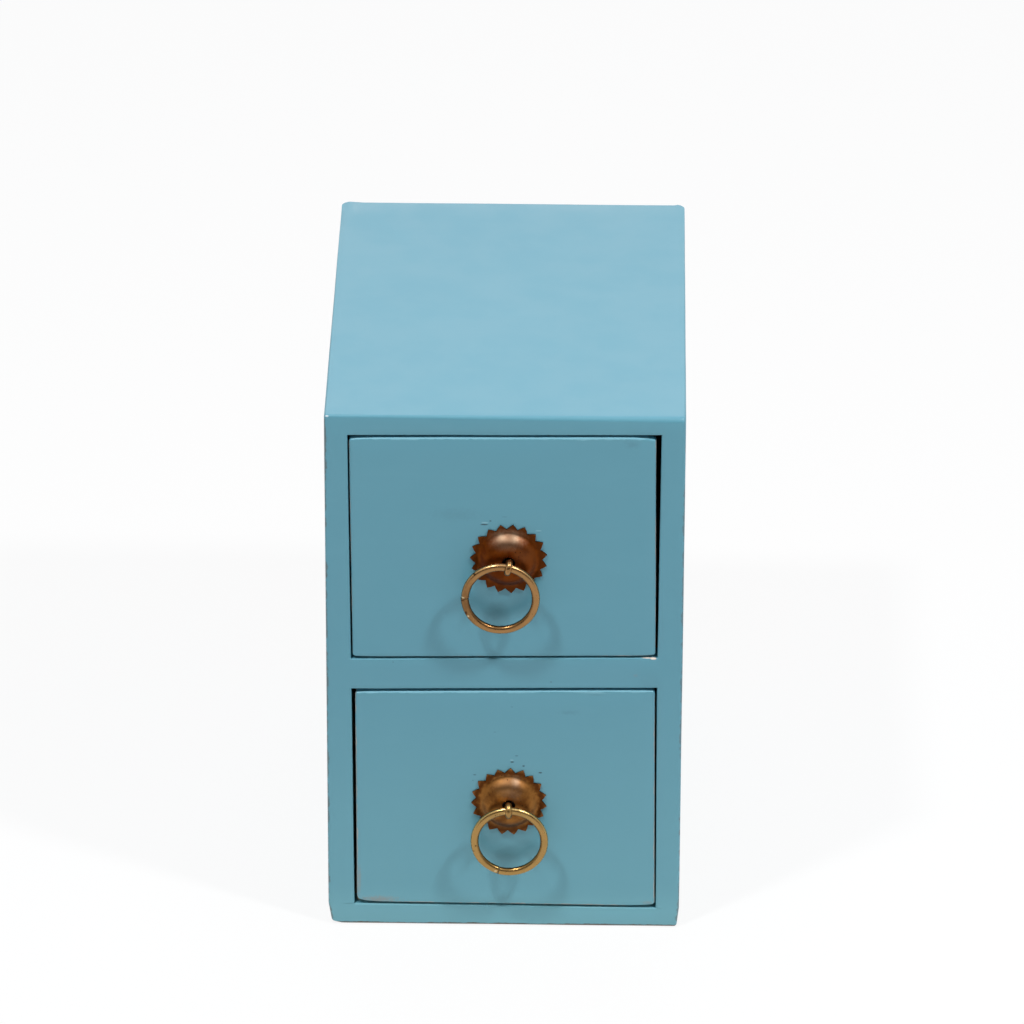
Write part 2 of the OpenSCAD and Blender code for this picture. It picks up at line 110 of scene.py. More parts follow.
def make_active(piece: bpy.types.Object) -> None:
    """Selects one piece and makes it the active one."""
    deselect_all()
    piece.select_set(True)
    bpy.context.view_layer.objects.active = piece


class Bench:
    """One piece on the bench, shaped with Blender's own modelling operators."""

    def __init__(self, name: str) -> None:
        """Takes the active object, which a primitive operator has just made.

        Args:
            name: The piece's name.
        """
        self.piece = bpy.context.view_layer.objects.active
        self.piece.name = name
        self.piece.data.name = name
        make_active(self.piece)
        bpy.ops.object.transform_apply(location=True, rotation=True, scale=True)

    @classmethod
    def grid(cls, name: str, columns: int, rows: int) -> "Bench":
        """Starts a piece from a flat grid in the XZ plane that faces -Y.

        Args:
            name: The piece's name.
            columns: How many points it has along X.
            rows: How many points it has along Z.

        Returns:
            The piece on the bench.
        """
        deselect_all()
        bpy.ops.mesh.primitive_grid_add(
            x_subdivisions=columns - 1,
            y_subdivisions=rows - 1,
            size=1,
            rotation=(math.pi / 2, 0, 0),
        )
        return cls(name)

    @classmethod
    def block(cls, name: str, low: Sequence[float], high: Sequence[float]) -> "Bench":
        """Starts a piece from a block.

        Args:
            name: The piece's name.
            low: Its lowest corner.
            high: Its highest corner.

        Returns:
            The piece on the bench.
        """
        deselect_all()
        lo, hi = Vector(low), Vector(high)
        bpy.ops.mesh.primitive_cube_add(size=1, location=(lo + hi) / 2, scale=hi - lo)
        return cls(name)

    @classmethod
    def rod(cls, name: str, centre: Sequence[float], radius: float, length: float) -> "Bench":
        """Starts a piece from a round rod that lies along Y.

        Args:
            name: The piece's name.
            centre: The rod's middle.
            radius: Its radius.
            length: Its length.

        Returns:
            The piece on the bench.
        """
        deselect_all()
        bpy.ops.mesh.primitive_cylinder_add(
            vertices=32, radius=radius, depth=length, location=centre, rotation=(math.pi / 2, 0, 0)
        )
        return cls(name)

    @classmethod
    def circle(cls, name: str, points: int, radius: float, filled: bool = False) -> "Bench":
        """Starts a piece from a circle about the origin, in the XY plane.

        Args:
            name: The piece's name.
            points: How many points it has.
            radius: Its radius.
            filled: Whether it has a face.

        Returns:
            The piece on the bench.
        """
        deselect_all()
        bpy.ops.mesh.primitive_circle_add(
            vertices=points, radius=radius, fill_type="NGON" if filled else "NOTHING"
        )
        return cls(name)

    def copy(self, name: str) -> "Bench":
        """Duplicates the piece with a mesh of its own."""
        make_active(self.piece)
        bpy.ops.object.duplicate()
        return Bench(name)

    @contextmanager
    def edit(self, kind: Pick = Pick.EDGE) -> Iterator[None]:
        """Goes into edit mode with everything deselected, and out of it at the end.

        Args:
            kind: What is going to be picked.

        Yields:
            Nothing.
        """
        make_active(self.piece)
        bpy.ops.object.mode_set(mode="EDIT")
        bpy.ops.mesh.select_mode(type=kind.value)
        bpy.ops.mesh.select_all(action="DESELECT")
        try:
            yield
        finally:
            bpy.ops.object.mode_set(mode="OBJECT")

    def _mesh(self) -> bmesh.types.BMesh:
        """Returns the mesh that is being edited."""
        return bmesh.from_edit_mesh(self.piece.data)

    def pick_all(self) -> None:
        """Picks the whole mesh."""
        bpy.ops.mesh.select_all(action="SELECT")

    def _pick(self, kind: str, where: Callable[[object], bool]) -> None:
        """Picks the edges or the faces that pass a test.

        Args:
            kind: "edges" or "faces".
            where: The test, given an edge or a face.
        """
        mesh = self._mesh()
        bpy.ops.mesh.select_all(action="DESELECT")
        mesh.normal_update()
        for element in [e for e in getattr(mesh, kind) if where(e)]:
            element.select_set(True)
        bmesh.update_edit_mesh(self.piece.data)

    def pick_edges(self, where: Callable[[Vector, Vector], bool]) -> None:
        """Picks the edges whose two ends pass a test."""
        self._pick("edges", lambda edge: where(edge.verts[0].co, edge.verts[1].co))

    def pick_faces(self, where: Callable[[Vector, Vector], bool]) -> None:
        """Picks the faces whose centre and normal pass a test."""
        self._pick("faces", lambda face: where(face.calc_center_median(), face.normal))

    def move_points(self, place: Callable[[Vector], Vector]) -> None:
        """Moves every point of the finished mesh by hand, to where a function puts it."""
        for vertex in self.piece.data.vertices:
            vertex.co = place(vertex.co.copy())
        self.piece.data.update()

    def pull_back(self, depth: float) -> None:
        """Extrudes the whole flat piece along +Y into a solid."""
        with self.edit(Pick.FACE):
            self.pick_all()
            bpy.ops.mesh.extrude_region_move(TRANSFORM_OT_translate={"value": (0, depth, 0)})
        self.turn_outwards()

    def bevel(self, width: float, segments: int) -> None:
        """Rounds the picked edges."""
        bpy.ops.mesh.bevel(
            offset=width, segments=segments, profile=0.5, affect="EDGES", clamp_overlap=False
        )

    def round_edges(
        self, where: Callable[[Vector, Vector], bool], width: float, segments: int
    ) -> None:
        """Rounds the edges whose two ends pass a test.

        Args:
            where: The test, given the two ends.
            width: The width that is taken off each face.
            segments: How many faces make the rounding.
        """
        with self.edit(Pick.EDGE):
            self.pick_edges(where)
            self.bevel(width, segments)

    def cut(
        self,
        at: Sequence[float],
        across: Sequence[float],
        drop_front: bool = False,
        drop_back: bool = False,
    ) -> None:
        """Cuts the whole mesh with a plane.

        Args:
            at: A point of the plane.
            across: The plane's normal.
            drop_front: Whether what lies on the normal's side goes.
            drop_back: Whether what lies on the other side goes.
        """
        self.pick_all()
        bpy.ops.mesh.bisect(
            plane_co=at,
            plane_no=across,
            use_fill=drop_front or drop_back,
            clear_outer=drop_front,
            clear_inner=drop_back,
            threshold=1e-7,
        )

    def cut_rows(self, axis: int, places: Iterable[float]) -> None:
        """Cuts rows of points across one axis, without taking anything away.

        Args:
            axis: 0, 1 or 2, for X, Y or Z.
            places: Where the rows lie.
        """
        normal = [0.0, 0.0, 0.0]
        normal[axis] = 1.0
        for place in places:
            self.cut([place * n for n in normal], normal)

    def subtract(self, cutter: "Bench") -> None:
        """Takes another piece's shape out of this one, and throws that piece away.

        Args:
            cutter: The piece that is taken out.
        """
        self._modifier("BOOLEAN", operation="DIFFERENCE", solver="EXACT", object=cutter.piece)
        cutter.discard()

    def discard(self) -> None:
        """Throws the piece and its mesh away."""
        mesh = self.piece.data
        bpy.data.objects.remove(self.piece)
        bpy.data.meshes.remove(mesh)

    def _modifier(self, kind: str, **settings: object) -> None:
        """Adds a modifier to the piece and applies it.

        Args:
            kind: The modifier's type.
            **settings: Its settings.
        """
        make_active(self.piece)
        modifier = self.piece.modifiers.new(kind.lower(), kind)
        for key, value in settings.items():
            setattr(modifier, key, value)
        bpy.ops.object.modifier_apply(modifier=modifier.name)

    def thicken(self, thickness: float) -> None:
        """Gives a sheet its thickness, towards the back of its faces."""
        self._modifier("SOLIDIFY", thickness=thickness, offset=-1.0, use_even_offset=True)

    def weld(self, reach: float = 1e-6) -> None:
        """Merges the points that lie closer together than a distance."""
        self.pick_all()
        bpy.ops.mesh.remove_doubles(threshold=reach)

    def turn_outwards(self) -> None:
        """Merges doubled points and makes every face point outwards."""
        with self.edit(Pick.VERT):
            self.weld()
            bpy.ops.mesh.normals_make_consistent(inside=False)

    def shade(self, degrees: float = 35) -> None:
        """Shades the piece smooth, apart from edges that are sharper than an angle."""
        make_active(self.piece)
        bpy.ops.object.shade_smooth_by_angle(angle=math.radians(degrees))


@dataclass(frozen=True)
class HandPlaning:
    """The slight waves that a hand plane and sandpaper leave.

    Neighbouring boards were finished together, so the waves depend on the place alone and the
    joints stay closed.
    """

    depth: float = 0.12 * MM
    length: float = 42 * MM
    seed: float = 3.7
    low: Point = (-75 * MM, -104 * MM, 0.0)
    high: Point = (75 * MM, 104 * MM, 243.8 * MM)

    def __call__(self, point: Vector) -> Vector:
        """Moves a point by the waves.

        Args:
            point: Its place on the true shape.

        Returns:
            Its place on the planed shape.
        """
        at = point / self.length + Vector((self.seed, -self.seed, 2 * self.seed))
        wave = noise.noise_vector(at) + 0.4 * noise.noise_vector(2.7 * at)
        moved = point + self.depth * wave
        return Vector(min(max(v, a), b) for v, a, b in zip(moved, self.low, self.high))


# ---- Finishes


class Wiring:
    """A node tree that is being wired."""

    def __init__(self, tree: bpy.types.NodeTree) -> None:
        """Starts with an empty tree."""
        self.tree = tree
        tree.nodes.clear()

    def add(self, kind: str, inputs: dict | None = None, **settings: object) -> bpy.types.Node:
        """Adds a node.

        Args:
            kind: The node's type.
            inputs: Its inputs by name or number, each a socket to link or a value to set.
            **settings: Its own settings.

        Returns:
            The node.
        """
        node = self.tree.nodes.new(kind)
        for key, value in settings.items():
            setattr(node, key, value)
        for key, value in (inputs or {}).items():
            self.feed(node.inputs[key], value)
        return node

    def feed(self, socket: bpy.types.NodeSocket, value: object) -> None:
        """Links a socket to another one, or sets its value.

        Args:
            socket: The input.
            value: An output socket, or a constant.
        """
        if isinstance(value, bpy.types.NodeSocket):
            self.tree.links.new(value, socket)
        elif socket.type == "RGBA" and len(value) == 3:
            socket.default_value = (*value, 1.0)
        else:
            socket.default_value = value

    def math(self, operation: str, *values: object, clamp: bool = False) -> bpy.types.NodeSocket:
        """Returns the result of a sum on numbers."""
        inputs = dict(enumerate(values))
        node = self.add("ShaderNodeMath", inputs, operation=operation, use_clamp=clamp)
        return node.outputs[0]

    def vector(self, operation: str, *values: object) -> bpy.types.NodeSocket:
        """Returns the vector that a Vector Math node gives."""
        node = self.add("ShaderNodeVectorMath", dict(enumerate(values)), operation=operation)
        return node.outputs["Value" if operation in ("LENGTH", "DOT_PRODUCT") else "Vector"]

    def fit(
        self, value: object, low: float, high: float, to_low: float = 0.0, to_high: float = 1.0
    ) -> bpy.types.NodeSocket:
        """Returns a value that runs smoothly between two others.

        Args:
            value: What is measured.
            low: Where it starts.
            high: Where it ends.
            to_low: The result at the start.
            to_high: The result at the end.
        """
        node = self.add(
            "ShaderNodeMapRange",
            {"Value": value, 1: low, 2: high, 3: to_low, 4: to_high},
            interpolation_type="SMOOTHSTEP",
        )
        return node.outputs["Result"]

    def mix(self, factor: object, first: object, second: object) -> bpy.types.NodeSocket:
        """Returns a mix of two colours."""
        node = self.add("ShaderNodeMix", {0: factor, 6: first, 7: second}, data_type="RGBA")
        return node.outputs[2]

    def noise(
        self, at: object, scale: object, detail: float = 3.0, roughness: float = 0.55
    ) -> bpy.types.NodeSocket:
        """Returns a noise from 0 to 1.

        Args:
            at: The place it is read at.
            scale: Its scale.
            detail: How many finer layers it has.
            roughness: How strong they are.
        """
        node = self.add(
            "ShaderNodeTexNoise",
            {"Vector": at, "Scale": scale, "Detail": detail, "Roughness": roughness},
        )
        return node.outputs[0]

    def stretched(self, at: object, scale: Point) -> bpy.types.NodeSocket:
        """Returns a place scaled along each axis."""
        return self.add("ShaderNodeMapping", {"Vector": at, "Scale": scale}).outputs["Vector"]

    def bump(self, height: object, depth: float, strength: float) -> bpy.types.NodeSocket:
        """Returns the normal of a surface with a height on it.

        Args:
            height: The height, from 0 to 1.
            depth: What a height of 1 is in metres.
            strength: The strength of the bump.
        """
        node = self.add(
            "ShaderNodeBump", {"Height": height, "Distance": depth, "Strength": strength}
        )
        return node.outputs["Normal"]


class Effects:
    """The shader effects that several finishes share, each one a node group made once."""

    ORIGIN: Point = (0.0, 0.0, 0.0)
    _made: dict[str, bpy.types.NodeTree] = {}

    @classmethod
    def _start(
        cls, name: str, inputs: dict[str, object], outputs: Sequence[str]
    ) -> tuple[Wiring, dict, dict]:
        """Starts a node group.

        Args:
            name: The group's name.
            inputs: Each input's name and starting value, a number or a vector.
            outputs: The names of its outputs, which are numbers.

        Returns:
            The group's wiring, what its input node gives and what its output node takes.
        """
        tree = bpy.data.node_groups.new(name, "ShaderNodeTree")
        for label, value in inputs.items():
            kind = "NodeSocketFloat" if isinstance(value, float) else "NodeSocketVector"
            socket = tree.interface.new_socket(label, in_out="INPUT", socket_type=kind)
            socket.default_value = value
        for label in outputs:
            tree.interface.new_socket(label, in_out="OUTPUT", socket_type="NodeSocketFloat")
        cls._made[name] = tree
        w = Wiring(tree)
        return w, w.add("NodeGroupInput").outputs, w.add("NodeGroupOutput").inputs

    @classmethod
    def place(cls, wiring: Wiring, name: str, values: dict[str, object]) -> bpy.types.Node:
        """Places an effect in a material, and makes its group the first time.

        Args:
            wiring: The material's wiring.
            name: The effect's name, which is also the name of the method that makes it.
            values: Its inputs.

        Returns:
            The group node.
        """
        if name not in cls._made:
            getattr(cls, name)()
        node = wiring.add("ShaderNodeGroup", node_tree=cls._made[name])
        for key, value in values.items():
            wiring.feed(node.inputs[key], value)
        return node

    @classmethod
    def add_marks(
        cls, w: Wiring, at: object, colour: object, marks: Sequence[Mark | WearAndHighlightEdge]
    ) -> object:
        """Returns a colour with marks and edge strips laid over it, painted highlights and painted
        shade among them.

        Args:
            w: The material's wiring.
            at: Object coordinates.
            colour: The colour without them.
            marks: The marks and edge strips, in the order they are laid.
        """
        for mark in marks:
            group = cls.place(w, mark.effect, {"Vector": at, **mark.inputs()})
            mask = w.math("MULTIPLY", group.outputs["Mask"], mark.strength)
            colour = w.mix(mask, colour, mark.colour)
        return colour

    @classmethod
    def brush_marks(cls) -> None:
        """Makes the fine furrows and the soft pooling that a brush leaves in paint."""
        w, given, result = cls._start(
            "brush_marks", {"Vector": cls.ORIGIN}, ("Furrows", "Pooling")
        )
        at = given["Vector"]
        w.feed(result["Furrows"], w.noise(w.stretched(at, (14, 40, 620)), 1.0, 3.0))
        w.feed(result["Pooling"], w.noise(w.stretched(at, (26, 34, 110)), 1.0, 2.0))

    @classmethod
    def mark(cls) -> None:
        """Makes one small mark with a ragged edge, such as a chip, a dent or a smudge."""
        w, given, result = cls._start(
            "mark",
            {
                "Vector": cls.ORIGIN,
                "Centre": cls.ORIGIN,
                "Size": (1.0, 1.0, 1.0),
                "Softness": 0.3,
                "Raggedness": 0.5,
            },
            ("Mask",),
        )
        offset = w.vector("SUBTRACT", given["Vector"], given["Centre"])
        reach = w.vector("LENGTH", w.vector("DIVIDE", offset, given["Size"]))
        ragged = w.noise(given["Vector"], 900.0, 4.0, 0.7)
        shifted = w.math("MULTIPLY", w.math("SUBTRACT", ragged, 0.5), given["Raggedness"])
        start = w.math("SUBTRACT", 1.0, given["Softness"])
        mask = w.fit(w.math("ADD", reach, shifted), start, 1.0, 1.0, 0.0)
        w.feed(result["Mask"], mask)

    @classmethod
    def worn_edge(cls) -> None:
        """Makes a ragged strip along a straight edge, for paint rubbed through and for a painted
        highlight along an arris.
        """
        w, given, result = cls._start(
            "worn_edge",
            {"Vector": cls.ORIGIN, "Point": cls.ORIGIN, "Inward": cls.ORIGIN, "Width": 0.001},
            ("Mask",),
        )
        offset = w.vector("SUBTRACT", given["Vector"], given["Point"])
        reach = w.vector("DOT_PRODUCT", offset, given["Inward"])
        share = w.math("DIVIDE", reach, given["Width"])
        ragged = w.fit(w.noise(given["Vector"], 330.0, 4.0, 0.65), 0.25, 0.75, -0.6, 0.6)
        patchy = w.fit(w.noise(given["Vector"], 70.0, 2.0), 0.3, 0.7, -0.5, 0.5)
        edge = w.math("ADD", share, w.math("ADD", ragged, patchy))
        w.feed(result["Mask"], w.fit(edge, 0.35, 1.05, 1.0, 0.0))

    @classmethod
    def wood_grain(cls) -> None:
        """Makes growth rings sawn lengthwise, with pores, for a board with its grain along Y."""
        w, given, result = cls._start(
            "wood_grain", {"Vector": cls.ORIGIN, "Spacing": 1.0}, ("Rings", "Pores")
        )
        at = given["Vector"]
        drift = w.noise(w.stretched(at, (7, 1.3, 7)), 1.0, 2.0)
        bent = w.vector("ADD", at, w.vector("MULTIPLY", drift, (0.012, 0.012, 0.012)))
        across = w.vector("LENGTH", w.stretched(bent, (1.0, 0.06, 1.0)))
        turns = w.math("DIVIDE", w.math("MULTIPLY", across, 2600.0), given["Spacing"])
        w.feed(result["Rings"], w.fit(w.math("SINE", turns), -1.0, 1.0))
        pores = w.noise(w.stretched(at, (1500, 60, 1500)), 1.0, 2.0, 0.6)
        w.feed(result["Pores"], w.fit(pores, 0.45, 0.75))

    @classmethod
    def patina(cls) -> None:
        """Makes the blotches, the pits and the fine rubbing of old brass."""
        w, given, result = cls._start(
            "patina", {"Vector": cls.ORIGIN, "Scale": 1.0}, ("Blotches", "Pits", "Rubbing")
        )
        scaled = {0: given["Vector"], "Scale": given["Scale"]}
        at = w.add("ShaderNodeVectorMath", scaled, operation="SCALE").outputs[0]
        w.feed(result["Blotches"], w.fit(w.noise(at, 210.0, 5.0, 0.62), 0.36, 0.66))
        cells = w.add("ShaderNodeTexVoronoi", {"Vector": at, "Scale": 620.0})
        dots = w.fit(cells.outputs["Distance"], 0.10, 0.22, 1.0, 0.0)
        chance = w.fit(w.noise(at, 160.0, 2.0), 0.56, 0.66)
        w.feed(result["Pits"], w.math("MULTIPLY", dots, chance))
        w.feed(result["Rubbing"], w.noise(w.stretched(at, (500, 500, 2300)), 1.0, 2.0))


def new_material(name: str) -> tuple[bpy.types.Material, Wiring, bpy.types.NodeSocket]:
    """Starts a material.

    Args:
        name: Its name.

    Returns:
        The material, its wiring and its Object coordinates.
    """
    material = bpy.data.materials.new(name)
    material.use_nodes = True
    wiring = Wiring(material.node_tree)
    place = wiring.add("ShaderNodeTexCoord").outputs["Object"]
    return material, wiring, place


def finish_surface(wiring: Wiring, inputs: dict[str, object]) -> None:
    """Ends a material with its surface shader."""
    shader = wiring.add("ShaderNodeBsdfPrincipled", inputs)
    wiring.add("ShaderNodeOutputMaterial", {"Surface": shader.outputs["BSDF"]})


@dataclass(frozen=True)
class Mark:
    """One small mark in a finish."""

    centre: Point
    size: Point
    colour: Colour
    strength: float = 1.0
    softness: float = 0.4
    raggedness: float = 0.6
    effect: ClassVar[str] = "mark"

    def inputs(self) -> dict[str, object]:
        """Returns the inputs of the mark's node group."""
        return {
            "Centre": self.centre,
            "Size": self.size,
            "Softness": self.softness,
            "Raggedness": self.raggedness,
        }


def mark(at: Point, size: Point, colour: Colour, *feel: float) -> Mark:
    """Returns a mark whose place and size are given in millimetres.

    Args:
        at: Its centre.
        size: Its size along each axis, to both sides of its centre.
        colour: Its colour.
        *feel: Its strength, its softness and its raggedness, as far as they are given.
    """
    return Mark(tuple(v * MM for v in at), tuple(v * MM for v in size), colour, *feel)


@dataclass(frozen=True)
class WearAndHighlightEdge:
    """A strip along a straight edge: rubbed paint, and on a drawer front's upper edge a painted
    highlight.
    """

    point: Point
    inward: Point
    width: float
    colour: Colour
    strength: float = 0.8
    effect: ClassVar[str] = "worn_edge"

    def inputs(self) -> dict[str, object]:
        """Returns the inputs of the edge's node group."""
        return {"Point": self.point, "Inward": self.inward, "Width": self.width}


@dataclass(frozen=True)
class PaintFinish:
    """Satin paint, brushed over wood, with the wood left bare where nobody looks."""

    colour: Colour = (0.103, 0.309, 0.397)
    pale: Colour = (0.105, 0.3125, 0.401)
    deep: Colour = (0.1015, 0.3065, 0.395)
    # Painted light thrown back from the floor: the paint turns towards this lighter colour near
    # the foot and, more weakly, up the lower drawer.
    lit_from_floor: Colour = (0.160, 0.406, 0.478)
    bare: Colour = (0.50, 0.33, 0.17)
    roughness: float = 0.36
    # Ramps of that painted floor light, each as (start, end, strength at its start).
    foot_floor_light: tuple[float, float, float] = (4 * MM, 22 * MM, 0.44)
    lower_floor_light: tuple[float, float, float] = (10 * MM, 140 * MM, 0.5)
    bare_from: float = -96.5 * MM
    bare_box: tuple[Point, Point] | None = None

    def _bare_mask(self, w: Wiring, at: bpy.types.NodeSocket) -> bpy.types.NodeSocket:
        """Returns the mask of the wood that the brush did not reach.

        Args:
            w: The material's wiring.
            at: Object coordinates.
        """
        xyz = w.add("ShaderNodeSeparateXYZ", {0: at}).outputs
        wander = w.fit(w.noise(at, 120.0, 3.0), 0.3, 0.7, -2.5 * MM, 2.5 * MM)
        depth = w.math("ADD", xyz["Y"], wander)
        mask = w.fit(depth, self.bare_from, self.bare_from + 0.8 * MM)
        if self.bare_box:
            for axis, low, high in zip("XZ", self.bare_box[0][::2], self.bare_box[1][::2]):
                above = w.math("GREATER_THAN", xyz[axis], low)
                below = w.math("LESS_THAN", xyz[axis], high)
                mask = w.math("MULTIPLY", mask, w.math("MULTIPLY", above, below))
        return mask

    def material(self, name: str, marks: Sequence[Mark | WearAndHighlightEdge]) -> bpy.types.Material:
        """Makes the paint for one piece.

        Args:
            name: The material's name.
            marks: The marks in that piece's paint and its edge strips, rubbed paint and painted
                highlights among them.

        Returns:
            The material.
        """
        material, w, at = new_material(name)
        brush = Effects.place(w, "brush_marks", {"Vector": at}).outputs
        cloud = w.noise(at, 24.0, 4.0, 0.6)
        colour = w.mix(w.fit(cloud, 0.3, 0.7), self.deep, self.colour)
        colour = w.mix(w.fit(brush["Pooling"], 0.5, 0.8), colour, self.pale)
        up = w.add("ShaderNodeSeparateXYZ", {0: at}).outputs["Z"]
        # Painted floor light: lighter towards the foot and up the lower drawer.
        floor_light_ramps = (self.foot_floor_light, self.lower_floor_light)
        shares = [w.fit(up, low, high, most, 0.0) for low, high, most in floor_light_ramps]
        colour = w.mix(w.math("ADD", *shares), colour, self.lit_from_floor)
        height = w.math("ADD", w.math("MULTIPLY", brush["Furrows"], 0.35), brush["Pooling"])
        colour = Effects.add_marks(w, at, colour, marks)
        bare = self._bare_mask(w, at)
        grain = Effects.place(w, "wood_grain", {"Vector": at, "Spacing": 3.0}).outputs
        wood = w.mix(grain["Rings"], self.bare, tuple(0.78 * c for c in self.bare))
        colour = w.mix(bare, colour, wood)
        smooth, rough = self.roughness - 0.03, self.roughness + 0.05
        gloss = w.fit(w.noise(at, 60.0, 3.0), 0.3, 0.7, smooth, rough)
        finish_surface(
            w,
            {
                "Base Color": colour,
                "Roughness": w.math("ADD", gloss, w.math("MULTIPLY", bare, 0.35)),
                "Normal": w.bump(height, 0.02 * MM, 0.8),
            },
        )
        return material


@dataclass(frozen=True)
class Band:
    """A band of brass further out than a radius, which has its own tone."""

    start: float
    run: float
    colour: Colour
    strength: float = 1.0


@dataclass(frozen=True)
class BrassFinish:
    """Old lacquered brass: a bright tone where it is rubbed and a dark one where it is not."""

    bright: Colour
    dark: Colour
    pit: Colour
    roughness: float
    blotch: float
    lacquer: float
    bands: tuple[Band, ...] = ()
    wander: float = 0.6 * MM
    centre: Point = (0.0, 0.0, 0.0)
    # Marks laid on the colour; painted highlights and painted shade are among them.
    marks: tuple[Mark, ...] = ()
    lacquer_roughness: float = 0.22

    def material(self, name: str) -> bpy.types.Material:
        """Makes the brass for one piece.

        Args:
            name: The material's name.

        Returns:
            The material.
        """
        material, w, at = new_material(name)
        old = Effects.place(w, "patina", {"Vector": at, "Scale": 1.0}).outputs
        colour = w.mix(w.math("MULTIPLY", old["Blotches"], self.blotch), self.bright, self.dark)
        offset = w.vector("MULTIPLY", w.vector("SUBTRACT", at, self.centre), (1, 0, 1))
        reach = w.vector("LENGTH", offset)
        wander = w.fit(w.noise(at, 420.0, 3.0), 0.3, 0.7, -self.wander, self.wander)
        reach = w.math("ADD", reach, wander)
        for band in self.bands:
            share = w.fit(reach, band.start, band.start + band.run, 0.0, band.strength)
            colour = w.mix(share, colour, band.colour)
        colour = Effects.add_marks(w, at, colour, self.marks)
        colour = w.mix(w.math("MULTIPLY", old["Pits"], 0.85), colour, self.pit)
        rough = w.math(
            "ADD",
            w.fit(old["Blotches"], 0.0, 1.0, self.roughness - 0.04, self.roughness + 0.06),
            w.math("MULTIPLY", old["Pits"], 0.25),
        )
        beaten = w.math("MULTIPLY", old["Blotches"], 0.5)
        height = w.math("ADD", beaten, w.math("MULTIPLY", old["Rubbing"], 0.3))
        height = w.math("SUBTRACT", height, old["Pits"])
        finish_surface(
            w,
            {
                "Base Color": colour,
                "Metallic": 1.0,
                "Roughness": rough,
                "Coat Weight": self.lacquer,
                "Coat Roughness": self.lacquer_roughness,
                "Normal": w.bump(height, 0.05 * MM, 0.7),
            },
        )
        return material


class Grain(Enum):
    """Which way the grain of a bare board runs."""

    X = (0.0, 0.0, math.pi / 2)
    Y = (0.0, 0.0, 0.0)
    Z = (math.pi / 2, 0.0, 0.0)


@dataclass(frozen=True)
class WoodFinish:
    """Bare wood, planed."""

    light: Colour = (0.60, 0.42, 0.23)
    dark: Colour = (0.42, 0.26, 0.12)
    spacing: float = 3.2
    roughness: float = 0.62

    def material(self, name: str, grain: Grain, seed: float) -> bpy.types.Material:
        """Makes the wood for one board.

        Args:
            name: The material's name.
            grain: Which way its grain runs.
            seed: Where in the log it was sawn, so that no two boards are alike.

        Returns:
            The material.
        """
        material, w, at = new_material(name)
        turned = w.add(
            "ShaderNodeMapping",
            {
                "Vector": at,
                "Location": (0.031 * seed + 0.02, 0.4 * seed, 0.043 * seed + 0.03),
                "Rotation": grain.value,
            },
        ).outputs["Vector"]
        wood = Effects.place(w, "wood_grain", {"Vector": turned, "Spacing": self.spacing}).outputs
        cloud = w.noise(at, 30.0, 3.0)
        rings = w.math("MULTIPLY", wood["Rings"], w.fit(cloud, 0.2, 0.8, 0.25, 0.55))
        colour = w.mix(rings, self.light, self.dark)
        colour = w.mix(w.math("MULTIPLY", wood["Pores"], 0.35), colour, (0.26, 0.15, 0.07))
        finish_surface(
            w,
            {
                "Base Color": colour,
                "Roughness": w.fit(wood["Rings"], 0, 1, self.roughness, self.roughness + 0.1),
                "Normal": w.bump(w.math("SUBTRACT", 1.0, wood["Pores"]), 0.06 * MM, 0.6),
            },
        )
        return material


@dataclass(frozen=True)
class SteelFinish:
    """Plain steel wire, a little dull."""

    colour: Colour = (0.45, 0.45, 0.46)
    rust: Colour = (0.22, 0.13, 0.08)

    def material(self, name: str) -> bpy.types.Material:
        """Makes the steel.

        Args:
            name: The material's name.

        Returns:
            The material.
        """
        material, w, at = new_material(name)
        old = Effects.place(w, "patina", {"Vector": at, "Scale": 2.0}).outputs
        colour = w.mix(w.math("MULTIPLY", old["Blotches"], 0.35), self.colour, self.rust)
        rough = w.fit(old["Blotches"], 0.0, 1.0, 0.35, 0.6)
        finish_surface(
            w,
            {
                "Base Color": colour,
                "Metallic": 1.0,
                "Roughness": rough,
                "Normal": w.bump(old["Rubbing"], 0.02 * MM, 0.4),
            },
        )
        return material


def dress(
    piece: bpy.types.Object, material: bpy.types.Material, slot: Slot, body: str | None = None
) -> None:
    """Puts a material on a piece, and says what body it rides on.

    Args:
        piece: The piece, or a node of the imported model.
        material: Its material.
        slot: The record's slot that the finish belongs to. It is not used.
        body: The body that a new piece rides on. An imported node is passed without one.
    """
    piece.data.materials.clear()
    piece.data.materials.append(material)
    if body:
        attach(piece, body)
    log.info("%s: %s, %d faces", piece.name, material.name, len(piece.data.polygons))


# ---- The chest


